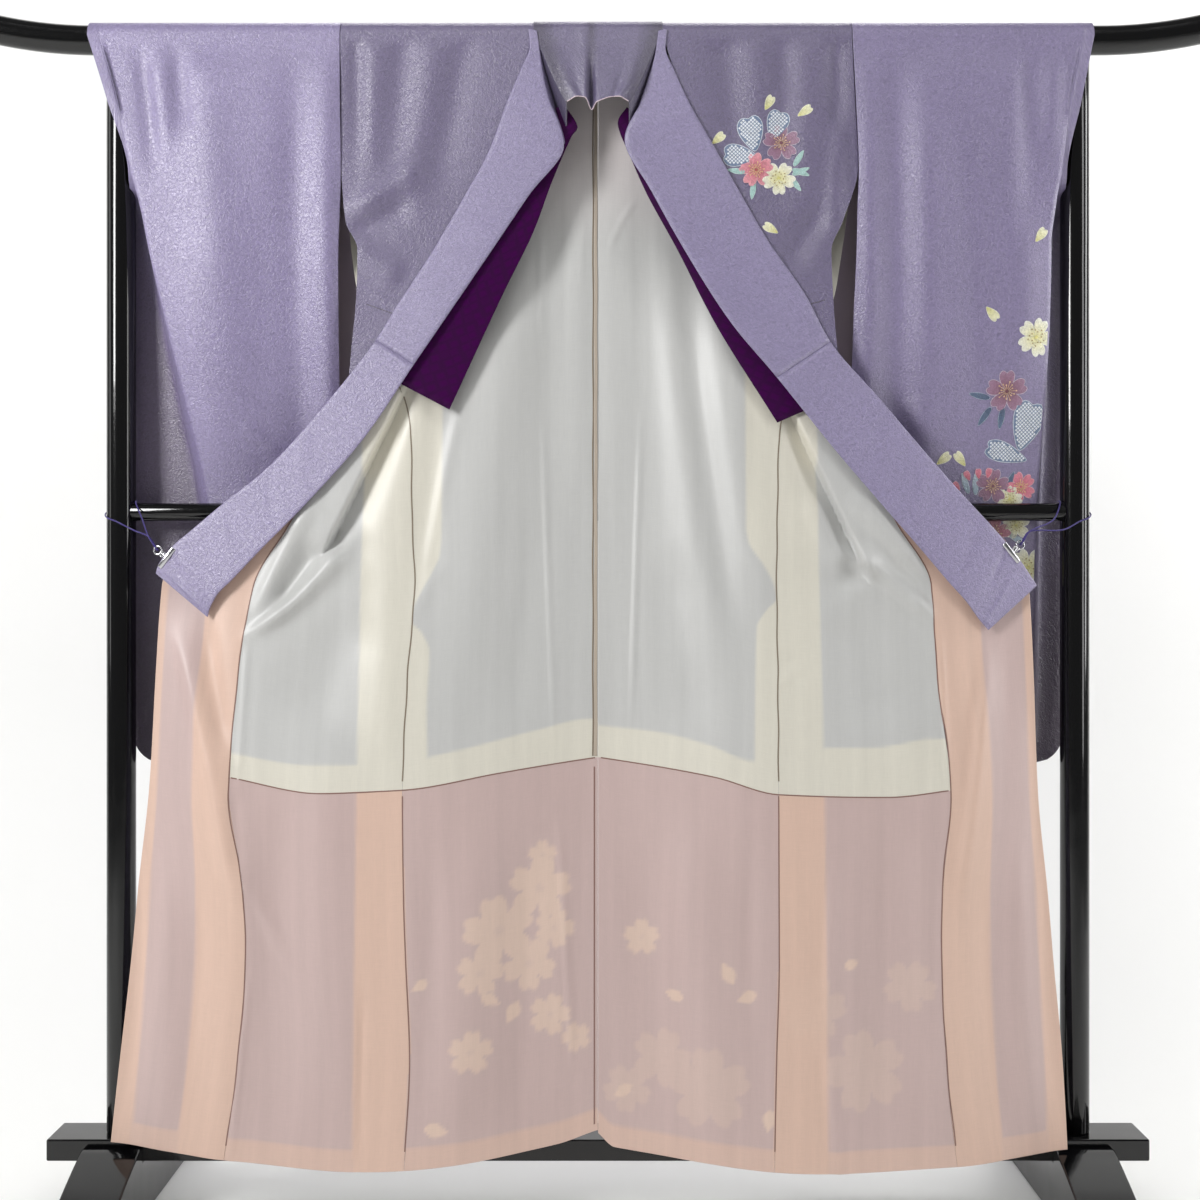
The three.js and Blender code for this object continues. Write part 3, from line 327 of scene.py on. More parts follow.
def stand_piece(name, points, faces, node):
    """A lacquered part of the stand."""
    piece = mesh_piece(name, points, faces, lacquer)
    put_in_place(piece, node, "lacquer")
    return piece


def eased(piece):
    """Rounds the sharp edges of a planed piece."""
    bevel = piece.modifiers.new("eased", "BEVEL")
    bevel.width = EDGE_ROUND * MM
    bevel.segments = 4
    bevel.limit_method = "ANGLE"
    bevel.angle_limit = math.radians(40)
    normals = piece.modifiers.new("normals", "WEIGHTED_NORMAL")
    normals.keep_sharp = True


half_sweep = [((1 - t) ** 2 * RAIL_STRAIGHT + 2 * t * (1 - t) * (RAIL_STRAIGHT + RAIL_REACH) / 2
               + t * t * RAIL_REACH, t * t * RAIL_RISE) for t in np.linspace(0, 1, 25)]
rail_line = ([(-x, 0, RAIL_HEIGHT + rise) for x, rise in half_sweep[::-1]]
             + [(x, 0, RAIL_HEIGHT + rise) for x, rise in half_sweep])
stand_piece("rail", *round_bar(rod_sections(rail_line, RAIL_RADIUS)), "top_rail")
cross_line = [(x, 0, CROSS_HEIGHT) for x in np.linspace(-POST_X, POST_X, 9)]
stand_piece("cross_rod", *round_bar(rod_sections(cross_line, CROSS_RADIUS)), "crossbar")

foot_outline = [(-FOOT_REACH, 0), (FOOT_REACH, 0)]
slope = [((1 - t) ** 2 * FOOT_REACH + 2 * t * (1 - t) * FOOT_BEND[0] + t * t * FOOT_FLAT,
          (1 - t) ** 2 * FOOT_TOE + 2 * t * (1 - t) * FOOT_BEND[1] + t * t * FOOT_HEIGHT)
         for t in np.linspace(0, 1, 21)]
notch = BAR_DEPTH / 2
foot_outline += slope + [(notch, FOOT_HEIGHT), (notch, BAR_BOTTOM), (-notch, BAR_BOTTOM),
                         (-notch, FOOT_HEIGHT)] + [(-y, z) for y, z in slope[::-1]]
for side, sign in SIDES.items():
    upright = [(z, 0, 0) for z in np.linspace(BAR_BOTTOM + BAR_THICKNESS, RAIL_HEIGHT, 9)]
    turned = [[(sign * POST_X + p.z, p.y, p.x) for p in section]
              for section in rod_sections(upright, POST_RADIUS)]
    stand_piece(f"upright_{side}", *round_bar(turned), f"post_{side}")
    cheeks = [[(sign * POST_X + half * FOOT_WIDTH / 2, y, z) for y, z in foot_outline]
              for half in (-1, 1)]
    foot = stand_piece(f"stand_foot_{side}", *round_bar(cheeks), f"foot_{side}")
    eased(foot)
bar_section = [(y * BAR_DEPTH / 2, BAR_BOTTOM + z * BAR_THICKNESS)
               for y, z in ((-1, 0), (1, 0), (1, 1), (-1, 1))]
bar = stand_piece("low_bar", *round_bar([[(x * BAR_LENGTH / 2, y, z) for y, z in bar_section]
                                         for x in (-1, 1)]), "base_bar")
eased(bar)


# The opened body. On each side one length of lilac silk crepe falls from the neck over the rail
# to the hem, lined with white plain-weave silk above and peach silk below the knee. Clipped
# apart by their collars, the fronts lie open beside the back, lining forward.
OPEN_TOP = 1195   # above this the fronts leave the back
HEM_LEVEL, SEAM_LEVEL, REGULAR_LEVEL = 95, 600, 740
FACE = 1.15       # from the middle of the two layers to the face of either
THICKNESS = 1.0   # one layer
SEAM_HALF = 0.15  # from a seam's line to the panels on either side
ROLL = 0.2        # share of a mesh cell where a layer's border starts to roll back
TURN_RADIUS = 22.4
NECK_HALF = 90
SHOULDER_TURN, NECK_TURN = 90, 165  # degrees round the rail, from the back
FINE_CELL, PLAIN_CELL = 3.6, 6.5    # of the faces in front, and of those behind


def table(columns, rows):
    """A table with named columns, a row for each section."""
    return dict(zip(columns.split(), np.array(rows, float).T))


BODY_COLUMNS = "z side okumi edge centre_y side_y okumi_y edge_y"
BODY = {
    "l": table(BODY_COLUMNS, [
        (95, 260, 504, 665, -42, -95, -85, -56), (230, 253, 485, 651, -40, -92, -86, -57),
        (370, 259, 475, 636, -38, -88, -86, -57), (450, 262, 478, 629, -36, -85, -84, -55),
        (590, 264, 499, 614, -31, -80, -78, -53), (750, 258, 489, 606, -27, -70, -66, -48),
        (870, 250, 470, 599, -21, -59, -54, -41), (960, 255, 417, 538, -17, -51, -50, -45),
        (1029, 256, 374, 448, -14, -46, -46, -44), (1080, 257, 343, 396, -12, -43, -44, -44),
        (1195, 292, 303, 306, -5, -38, -40, -40)]),
    "r": table(BODY_COLUMNS, [
        (95, 237, 484, 641, -42, -95, -85, -56), (230, 240, 469, 634, -40, -92, -86, -57),
        (370, 244, 462, 622, -38, -88, -86, -57), (450, 244, 463, 616, -36, -85, -84, -55),
        (590, 244, 477, 603, -31, -80, -78, -53), (750, 244, 461, 597, -27, -70, -66, -48),
        (870, 243, 455, 592, -21, -59, -54, -41), (960, 245, 405, 526, -17, -51, -50, -45),
        (1080, 249, 355, 412, -12, -43, -44, -44), (1195, 296, 312, 315, -5, -38, -40, -40)]),
}
SHOULDER_COLUMNS = "z armhole collar armhole_y collar_y back back_y centre_y"
SHOULDER = {
    "l": table(SHOULDER_COLUMNS, [
        (1160, 341, 334, -46, -47, 278, -39, -7), (1195, 338, 303, -46, -47, 292, -38, -5),
        (1265, 332, 258, -43, -43, 330, -24, 1), (1331, 330, 217, -40, -39.8, 344, -4, 6),
        (1370, 347, 195, -38, -38, 349, 8, 9), (1450, 354, 150, -32, -33, 354, 22, 14),
        (1540, 356, 115, -26, -29, 356, 23, 19), (1633, 357, 90, -22.4, -22.4, 357, 22.4, 22.4)]),
    "r": table(SHOULDER_COLUMNS, [
        (1160, 334, 330, -46, -47, 280, -39, -7), (1195, 328, 308, -46, -47, 296, -38, -5),
        (1265, 323, 276, -43, -43, 326, -24, 1), (1331, 321, 230, -40, -40.2, 340, -4, 6),
        (1370, 336, 205, -38, -38, 347, 8, 9), (1450, 359, 161, -32, -33.6, 357, 22, 14),
        (1540, 356, 118, -26, -29, 355, 23, 19), (1633, 352, 90, -22.4, -22.4, 352, 22.4, 22.4)]),
}
HEM = {
    "l": table("x z", [(0, 122), (59, 104), (187, 89), (325, 82), (504, 95), (665, 110)]),
    "r": table("x z", [(0, 118), (23, 99), (158, 88), (312, 79), (484, 86), (641, 100)]),
}
LINING_SEAM = {
    "l": table("x z", [(0, 633), (138, 613), (265, 593), (378, 589), (503, 611)]),
    "r": table("x z", [(0, 633), (159, 609), (245, 587), (390, 583), (481, 593)]),
}
# Creases and drapes: from one end to the other, half width at each end, how far the ridge comes
# forward, how far its middle bends aside, and which flank is the steep one.
CREASE_COLUMNS = "x0 z0 x1 z1 wide0 wide1 rise bend lean"
CREASES = {
    "l": table(CREASE_COLUMNS, [
        (84, 1420, 172, 670, 34, 50, 12, 10, 0), (82, 1370, 80, 1195, 3.5, 3.5, 1.3, 0, 0.6),
        (18, 1400, 22, 1280, 3.5, 3.5, 1.1, 3, 0.6), (192, 1300, 250, 815, 26, 24, -7, 6, 0),
        (174, 1170, 242, 828, 9, 10, 1.8, 7, 0), (30, 1500, 22, 900, 26, 30, 5, 0, 0),
        (80, 1148, 60, 628, 5, 5, 2.2, 0, 0.6), (57, 588, 33, 160, 7, 7, 2.2, 0, 0.6),
        (87, 1000, 129, 640, 30, 41, -5, 0, 0), (150, 591, 195, 60, 36, 48, 9, 5, 0),
        (95, 576, 110, 57, 32, 41, -7, 0, 0), (226, 560, 232, 60, 16, 20, -4, 0, 0),
        (210, 905, 254, 820, 12, 10, 1.5, 0, 0), (318, 965, 492, 792, 19, 10, 15, -15, 0.3),
        (378, 1008, 476, 809, 14, 11, 7, 3, 0),
        (380, 931, 445, 834, 16, 11, -9, 0, 0), (477, 815, 488, 578, 5, 5, 2.5, 0, 0.7),
        (330, 850, 405, 664, 41, 54, -9, 0, 0), (281, 950, 297, 590, 20, 24, 4, 0, 0),
        (375, 700, 350, 50, 34, 44, 9, 0, 0), (316, 365, 322, 60, 7, 8, -3, 0, 0.5),
        (430, 620, 452, 60, 24, 32, -6, 0, 0), (466, 460, 428, 365, 7, 8, 2, 0, 0),
        (452, 453, 407, 332, 8, 10, 2, 0, 0), (588, 839, 484, 400, 16, 24, 11, -11, 0.4),
        (543, 850, 504, 618, 14, 19, -7, 0, 0), (612, 843, 642, 60, 19, 22, -6, 0, 0),
        (532, 498, 553, 60, 22, 27, -7, 0, 0), (495, 593, 484, 472, 11, 11, -4, 0, 0),
        (585, 560, 600, 60, 20, 26, 6, 0, 0), (469, 368, 499, 60, 5, 5, 2.5, 0, 0.7)]),
    "r": table(CREASE_COLUMNS, [
        (146, 1420, 232, 760, 26, 36, 10, -6, 0), (84, 1420, 168, 680, 22, 34, 8, -4, 0),
        (114, 1300, 196, 760, 16, 20, -5, -4, 0), (28, 1500, 24, 900, 26, 30, 4, 0, 0),
        (14, 1330, 60, 1420, 4, 4, 1.2, 6, 0), (60, 1148, 43, 628, 5, 5, 2.2, 0, -0.6),
        (97, 940, 141, 640, 30, 41, -5, 0, 0),
        (199, 932, 241, 855, 12, 10, 1.5, 0, 0), (126, 590, 156, 57, 36, 48, 8, -5, 0),
        (70, 575, 84, 55, 30, 38, -7, 0, 0), (206, 560, 214, 60, 16, 20, -4, 0, 0),
        (318, 925, 466, 812, 20, 11, 15, 12, -0.2),
        (282, 1006, 340, 872, 16, 19, 10, 4, 0), (336, 1000, 454, 864, 22, 14, 9, 5, -0.3),
        (364, 904, 444, 842, 18, 13, -6, 5, 0), (464, 843, 473, 571, 5, 5, 2.5, 0, -0.7),
        (242, 728, 276, 764, 7, 8, 2.5, 0, 0), (250, 782, 281, 728, 8, 8, -2, 0, 0),
        (335, 850, 396, 664, 41, 54, -9, 0, 0), (319, 514, 309, 272, 10, 11, 4, 0, -0.4),
        (309, 272, 328, 57, 11, 11, 5, 0, -0.3), (379, 641, 393, 60, 36, 46, -8, 0, 0),
        (440, 620, 450, 60, 22, 30, 6, 0, 0), (534, 815, 480, 394, 16, 22, 9, 8, -0.4),
        (597, 815, 624, 84, 19, 22, -6, 0, 0), (524, 498, 544, 69, 24, 27, -7, 0, 0),
        (574, 560, 592, 60, 18, 24, 6, 0, 0)]),
}
# Edge of the fold that the clip pulls aside: both ends, how far its layer stands forward and
# the hollow behind it goes back, and the hollow's width.
LEDGE = {"l": (262, 1150, 377, 912, 9, 17, 46), "r": (262, 1120, 376, 872, 9, 17, 44)}


def between(rows, key, place, at="z"):
    """A column's value at other places of the table, on a smooth curve with no overshoot."""
    x, y = rows[at], rows[key]
    if x[0] > x[-1]:
        x, y = x[::-1], y[::-1]
    slope = np.diff(y) / np.diff(x)
    product = slope[:-1] * slope[1:]
    total = np.where(product > 0, slope[:-1] + slope[1:], 1)
    tangent = np.concatenate([slope[:1], np.where(product > 0, 2 * product / total, 0), slope[-1:]])
    place = np.clip(place, x[0], x[-1])
    i = np.clip(np.searchsorted(x, place, side="right") - 1, 0, len(slope) - 1)
    span = x[i + 1] - x[i]
    t = (place - x[i]) / span
    return ((2 * t ** 3 - 3 * t ** 2 + 1) * y[i] + (t ** 3 - 2 * t ** 2 + t) * span * tangent[i]
            + (3 * t ** 2 - 2 * t ** 3) * y[i + 1] + (t ** 3 - t ** 2) * span * tangent[i + 1])


def smooth(low, high, value):
    """0 below low, 1 above high and an even curve between them."""
    t = np.clip((value - low) / (high - low), 0, 1)
    return t * t * (3 - 2 * t)


def crease_depth(creases, x, z):
    """Depth that a table of creases adds at points of a hanging sheet, away from the front."""
    depth = np.zeros(np.shape(x))
    for x0, z0, x1, z1, wide0, wide1, rise, bend, lean in zip(*creases.values()):
        dx, dz = x1 - x0, z1 - z0
        length = math.hypot(dx, dz)
        t = ((x - x0) * dx + (z - z0) * dz) / length ** 2
        aside = ((z - z0) * dx - (x - x0) * dz) / length - 4 * bend * t * (1 - t)
        wide = wide0 + (wide1 - wide0) * np.clip(t, 0, 1)
        wide = wide * np.where(aside * lean > 0, 1 - 0.85 * abs(lean), 1)
        depth -= rise * np.exp(-((aside / wide) ** 2)) * smooth(0, 0.3, t) * smooth(0, 0.3, 1 - t)
    return depth


def ledge_depth(side, x, z, outer_cloth):
    """Depth that the pulled fold adds: its layer stands forward of the hollow beside it. The
    outer cloth spans both behind it."""
    x0, z0, x1, z1, forward, behind, hollow = LEDGE[side]
    length = math.hypot(x1 - x0, z1 - z0)
    t = ((x - x0) * (x1 - x0) + (z - z0) * (z1 - z0)) / length ** 2
    aside = ((z - z0) * (x1 - x0) - (x - x0) * (z1 - z0)) / length
    if outer_cloth:
        spanned = (behind + 3) * np.exp(-((aside / 62) ** 2))
        return spanned * smooth(-0.3, 0.15, t) * smooth(0, 0.2, 1.15 - t)
    layer = -forward * np.exp(-((np.maximum(aside, 0) / 60) ** 2))
    widening = hollow * (0.35 + 0.65 * np.clip(t, 0, 1))
    sunk = behind * np.exp(-((np.minimum(aside, 0) / widening) ** 2))
    share = smooth(-2.5, 1.5, aside)
    ends = smooth(-0.12, 0.25, t) * smooth(0, 0.13, 1.02 - t)
    return (layer * share + sunk * (1 - share)) * ends


def sheet_depth(side, x, z, outer_cloth=False):
    """Depth of the middle of the opened body sheet."""
    body, upper = BODY[side], SHOULDER[side]
    stops = [(0, "centre_y")] + [(between(body, key, z), f"{key}_y")
                                 for key in ("side", "okumi", "edge")]
    low = between(body, "centre_y", z)
    for (start, start_key), (end, end_key) in zip(stops, stops[1:]):
        y0, y1 = between(body, start_key, z), between(body, end_key, z)
        low = np.where(x >= start, y0 + (y1 - y0) * smooth(start, end, x), low)
    centre, edge = between(upper, "centre_y", z), between(upper, "back_y", z)
    high = centre + (edge - centre) * smooth(0, between(upper, "back", z), x)
    fading = 1 - smooth(RAIL_HEIGHT - 90, RAIL_HEIGHT, z)
    return (np.where(z > OPEN_TOP, high, low) + crease_depth(CREASES[side], x, z) * fading
            + ledge_depth(side, x, z, outer_cloth))


def panel(side, inner, outer, level, cell, width, outer_cloth=False):
    """Grid of a panel of the opened sheet. level gives heights from the nominal ones and x."""
    nominal, height = level
    shares = np.linspace(0, 1, max(int(width / cell), 2) + 1)
    first, last = inner(nominal)[:, None], outer(nominal)[:, None]
    x = first + shares * (last - first)
    z = height(nominal[:, None] + 0 * x, x)
    return np.stack([x, sheet_depth(side, x, z, outer_cloth), z], -1)


def over_rail(x, degrees):
    """Points of the cloth over the rail, a row for each angle from the back."""
    angle = np.radians(degrees)[:, None]
    across = np.broadcast_to(x, (len(degrees), len(x)))
    return np.stack([across, TURN_RADIUS * np.cos(angle) + 0 * across,
                     RAIL_HEIGHT + TURN_RADIUS * np.sin(angle) + 0 * across], -1)


def grid_normals(points, toward):
    """Unit normals of a grid, on the side that mostly faces toward."""
    normals = np.cross(np.gradient(points, axis=1), np.gradient(points, axis=0))
    normals /= np.linalg.norm(normals, axis=-1, keepdims=True) + 1e-12
    return normals if (normals @ np.array(toward)).mean() > 0 else -normals


def give_dye(piece, dyes):
    """Keeps a dye for each point of a piece."""
    dyes = np.concatenate([dyes, np.ones((len(dyes), 1))], 1)
    layer = piece.data.color_attributes.new("dye", "FLOAT_COLOR", "POINT")
    layer.data.foreach_set("color", dyes.ravel())


def give_weave(piece, places):
    """Keeps the place of each point along both threads of the weave, in metres."""
    corners = np.zeros(len(piece.data.loops), int)
    piece.data.loops.foreach_get("vertex_index", corners)
    piece.data.uv_layers.new(name="weave").data.foreach_set("uv", places[corners].ravel())


def threads_along(points):
    """How far each point of a grid lies along its row and its column."""
    across = np.linalg.norm(np.diff(points, axis=1, prepend=points[:, :1]), axis=-1)
    along = np.linalg.norm(np.diff(points, axis=0, prepend=points[:1]), axis=-1)
    return np.stack([np.cumsum(across, axis=1), np.cumsum(along, axis=0)], -1)


def cloth_mesh(name, grids, side, toward, material, node, slot, face=FACE, thickness=THICKNESS):
    """One layer of cloth from grids of points and their dyes: its face, with every border
    rolled back by the layer's thickness. Grids are given for the side at +X."""
    sign = SIDES.get(side, 1)
    all_points, all_faces, all_dyes, all_weave = [], [], [], []
    start = 0
    for points, dye, *facing in grids:
        normals = grid_normals(points, facing[0] if facing else toward)
        layers = np.concatenate([points, normals, dye, threads_along(points)], -1)
        turned = np.zeros(points.shape[:2])
        for axis in (0, 1):
            count = layers.shape[axis]
            last = count - 1
            at = np.concatenate([[0, 0, ROLL], np.arange(1, last), [last - ROLL, last, last]])
            low = np.minimum(at.astype(int), count - 2)
            share = (at - low)[:, None, None] if axis == 0 else (at - low)[None, :, None]
            layers = np.take(layers, low, axis) * (1 - share) + np.take(layers, low + 1, axis) * share
            turned = np.take(turned, low, axis)
            border = [slice(None), slice(None)]
            border[axis] = [0, -1]
            turned[tuple(border)] = 1
        place = layers[..., :3] + layers[..., 3:6] * (face - thickness * turned[..., None])
        place[..., 0] *= sign
        rows, columns = place.shape[:2]
        faces = np.array(grid_faces(rows, columns)) + start
        facing = np.cross(place[1, 2] - place[1, 1], place[2, 1] - place[1, 1])
        outward = layers[1, 1, 3:6] * (sign, 1, 1)
        all_faces.append(faces if facing @ outward > 0 else faces[:, ::-1])
        all_points.append(place.reshape(-1, 3))
        all_dyes.append(layers[..., 6:9].reshape(-1, 3))
        all_weave.append(layers[..., 9:].reshape(-1, 2))
        start += rows * columns
    piece = mesh_piece(name, np.concatenate(all_points), np.concatenate(all_faces), material)
    give_dye(piece, np.concatenate(all_dyes))
    give_weave(piece, np.concatenate(all_weave) * MM)
    put_in_place(piece, node, slot)
    return piece


def dyed(points, colour):
    """One even dye over a grid."""
    return np.broadcast_to(np.array(linear(colour)[:3]), points.shape)


def mix(first, second, share):
    """Blend of two dyes, by a share at each point."""
    return first + (second - first) * np.asarray(share)[..., None]


SLUBS_ACROSS, SLUBS_ALONG = 900, 45  # a metre


def silk_material(name, roughness, bump_strength, sheen):
    """A plain-weave silk: smooth, with faint slubs along both threads and a soft gloss. Threads
    are finer than a picture can show, so the slubs stand for them, a few millimetres long."""
    material = new_material(name, Roughness=roughness, Sheen_Weight=sheen, Sheen_Roughness=0.35,
                            Specular_IOR_Level=0.6)
    weave = add_node(material, "ShaderNodeUVMap", {"uv_map": "weave"})
    dye = add_node(material, "ShaderNodeAttribute", {"attribute_name": "dye"})
    runs = []
    for across, along in ((SLUBS_ACROSS, SLUBS_ALONG), (SLUBS_ALONG, SLUBS_ACROSS)):
        stretch = add_node(material, "ShaderNodeMapping", Vector=(weave, "UV"),
                           Scale=(across, along, 1))
        runs.append(add_node(material, "ShaderNodeTexNoise", Vector=(stretch, "Vector"),
                             Scale=1.0, Detail=2.0))
    both = add_node(material, "ShaderNodeMath", {"operation": "ADD"}, _0=(runs[0], "Fac"),
                    _1=(runs[1], "Fac"))
    bump = add_node(material, "ShaderNodeBump", Height=(both, "Value"), Strength=bump_strength,
                    Distance=0.0004)
    join_shader(material, bump, "Normal", "Normal")
    tone = add_node(material, "ShaderNodeMapRange", Value=(both, "Value"), From_Min=0.6, From_Max=1.4,
                    To_Min=0.955, To_Max=1.03)
    # painted light and shade: soft upright streaks some 20 mm apart, lighter and darker, stand for the
    # shading of fine folds in the pressed cloth
    stretch = add_node(material, "ShaderNodeMapping", Vector=(weave, "UV"), Scale=(55, 2.2, 1))
    fold_line_noise = add_node(material, "ShaderNodeTexNoise", Vector=(stretch, "Vector"), Scale=1.0,
                       Detail=3.0)
    painted_fold_shade = add_node(material, "ShaderNodeMapRange", Value=(fold_line_noise, "Fac"), From_Min=0.3,
                           From_Max=0.7, To_Min=0.955, To_Max=1.03)
    tone = add_node(material, "ShaderNodeMath", {"operation": "MULTIPLY"}, _0=(tone, "Result"),
                    _1=(painted_fold_shade, "Result"))
    colour = add_node(material, "ShaderNodeVectorMath", {"operation": "SCALE"}, Vector=(dye, "Color"),
                      Scale=(tone, "Value"))
    join_shader(material, colour, "Vector", "Base Color")
    return material


def crepe_material(name):
    """Silk crepe: overtwisted weft draws the surface into a pebbled grain, about 3 mm across,
    which glitters where light grazes it. Broad, faint unevenness comes from the dye."""
    material = new_material(name, Roughness=0.4, Sheen_Weight=0.1, Sheen_Roughness=0.4, IOR=1.62,
                            Specular_IOR_Level=1.0)
    weave = add_node(material, "ShaderNodeUVMap", {"uv_map": "weave"})
    dye = add_node(material, "ShaderNodeAttribute", {"attribute_name": "dye"})
    grain = add_node(material, "ShaderNodeTexNoise", Vector=(weave, "UV"), Scale=260.0, Detail=2.5,
                     Roughness=0.65, Distortion=1.2)
    bump = add_node(material, "ShaderNodeBump", Height=(grain, "Fac"), Strength=0.7, Distance=0.0018)
    join_shader(material, bump, "Normal", "Normal")
    pebbles = add_node(material, "ShaderNodeMapRange", Value=(grain, "Fac"), From_Min=0.3, From_Max=0.7,
                       To_Min=0.76, To_Max=1.22)
    cloud = add_node(material, "ShaderNodeTexNoise", Vector=(weave, "UV"), Scale=9.0, Detail=3.0)
    unevenness = add_node(material, "ShaderNodeMapRange", Value=(cloud, "Fac"), From_Min=0.3,
                          From_Max=0.7, To_Min=0.96, To_Max=1.04)
    tone = add_node(material, "ShaderNodeMath", {"operation": "MULTIPLY"}, _0=(pebbles, "Result"),
                    _1=(unevenness, "Result"))
    colour = add_node(material, "ShaderNodeVectorMath", {"operation": "SCALE"}, Vector=(dye, "Color"),
                      Scale=(tone, "Value"))
    join_shader(material, colour, "Vector", "Base Color")
    return material


white_silk = silk_material("white_habutae_silk", 0.4, 0.25, 0.05)
peach_silk = silk_material("peach_habutae_silk", 0.42, 0.25, 0.08)
crepe = crepe_material("lilac_crepe")

# the third white is painted light: a paler white for the lining below the neck
WHITE_OVER_LILAC, WHITE_ALONE, WHITE_LIT_AT_NECK = "#C4C4C2", "#DAD6C9", "#ECE4E3"
PEACH_OVER_LILAC, PEACH_ALONE, PEACH_OVER_FLOWER = "#C6AFAB", "#D9BAA9", "#DDC4B3"
LILAC, DEEP_MAUVE = "#7F7597", "#423148"
# where the seam allowances of the outer cloth end, so that the lining shows its own colour
BACK_ALLOWANCE = {
    "l": table("z x", [(590, 229), (700, 232), (780, 229), (806, 240), (822, 254), (838, 251),
                       (862, 240), (888, 226), (912, 216), (940, 214), (1700, 214)]),
    "r": table("z x", [(590, 212), (700, 213), (812, 216), (836, 229), (852, 243), (868, 240),
                       (896, 226), (930, 205), (952, 202), (1700, 203)]),
}
FRONT_ALLOWANCE = {
    "l": table("z x", [(79, 330), (600, 326), (1195, 321)]),
    "r": table("z x", [(79, 310), (600, 306), (860, 302), (1195, 299)]),
}
LOWER_ALLOWANCE = {
    "l": table("x z", [(0, 686), (12, 686), (85, 671), (190, 646), (263, 632), (330, 627),
                       (397, 627), (497, 643)]),
    "r": table("x z", [(0, 677), (81, 669), (150, 653), (212, 632), (260, 640), (311, 650),
                       (368, 650), (445, 662)]),
}
HEM_ALLOWANCE = 30
OKUMI_BAND = table("z from to", [(95, 0.42, 0.82), (600, 0.46, 0.9), (1195, 0.5, 0.95)])
SOFT_EDGE = 2.5  # how gradually one layer's edge shows through another


def white_dye(side, points):
    """White lining: cool where the lilac shows through, warm over the seam allowances, and
    painted paler below the neck: painted light that lifts the shade there."""
    x, z = points[..., 0], points[..., 2]
    front = x > between(BODY[side], "side", z)
    back_alone = smooth(-SOFT_EDGE, SOFT_EDGE, x - between(BACK_ALLOWANCE[side], "x", z))
    front_alone = smooth(-SOFT_EDGE, SOFT_EDGE, between(FRONT_ALLOWANCE[side], "x", z) - x)
    low_alone = smooth(-SOFT_EDGE, SOFT_EDGE, between(LOWER_ALLOWANCE[side], "z", x, at="x") - z)
    alone = np.where(front & (z < OPEN_TOP), front_alone, back_alone)
    alone = np.maximum(alone, low_alone)
    # painted light: below the neck the lining is made paler, to lift the shade there
    neck_light_share = smooth(1330, 1520, z) * (x < 150)
    dye = mix(dyed(points, WHITE_OVER_LILAC), dyed(points, WHITE_ALONE), alone)
    return mix(dye, dyed(points, WHITE_LIT_AT_NECK), neck_light_share)


# Blossoms painted on the outer silk of the lower body, which show faintly through its lining:
# distance to the viewer's right, height, radius, turn and colour of each.
BODY_BLOSSOMS = table("x z radius turn pale", [
    (-80, 455, 46, 10, 1), (-135, 400, 52, 30, 1), (-95, 352, 40, 55, 1), (-160, 345, 34, 5, 1),
    (-60, 400, 30, 0, 1), (-76, 500, 22, 20, 1), (-172, 240, 32, 12, 1), (-66, 282, 31, 0, 1),
    (-30, 250, 22, 40, 1), (60, 387, 27, 18, 1), (88, 225, 44, 0, 0), (150, 190, 60, 20, 0),
    (40, 180, 36, 50, 0), (290, 300, 48, 8, 0), (360, 215, 60, 33, 0), (420, 330, 38, 60, 0)])
BODY_PETALS = table("x z length turn", [
    (-146, 308, 30, 150), (-117, 287, 34, 60), (-217, 137, 36, 170), (175, 347, 34, 300),
    (201, 314, 30, 20), (104, 312, 28, 340), (34, 176, 30, 30), (342, 359, 24, 200),
    (-240, 330, 26, 30), (230, 150, 32, 80)])


def blossom_cover(x, z, centre_x, centre_z, radius, turn):
    """1 inside a five-petalled blossom with notched petals, 0 outside, with a soft edge."""
    dx, dz = x - centre_x, z - centre_z
    angle = np.arctan2(dz, dx) - math.radians(turn)
    lobe = np.abs(np.cos(2.5 * angle))
    reach = radius * (0.5 + 0.5 * lobe ** 0.7 - 0.16 * lobe ** 14)
    return smooth(-3, 3, reach - np.hypot(dx, dz))


def petal_cover(x, z, centre_x, centre_z, length, turn):
    """1 inside one loose petal."""
    angle = math.radians(turn)
    dx, dz = x - centre_x, z - centre_z
    along = (dx * math.cos(angle) + dz * math.sin(angle)) / length + 0.5
    across = np.abs(dz * math.cos(angle) - dx * math.sin(angle)) / length
    width = 0.28 * np.sin(np.pi * np.clip(along, 0, 1) ** 1.3)
    return smooth(-0.06, 0.06, width - across) * (along > 0) * (along < 1)


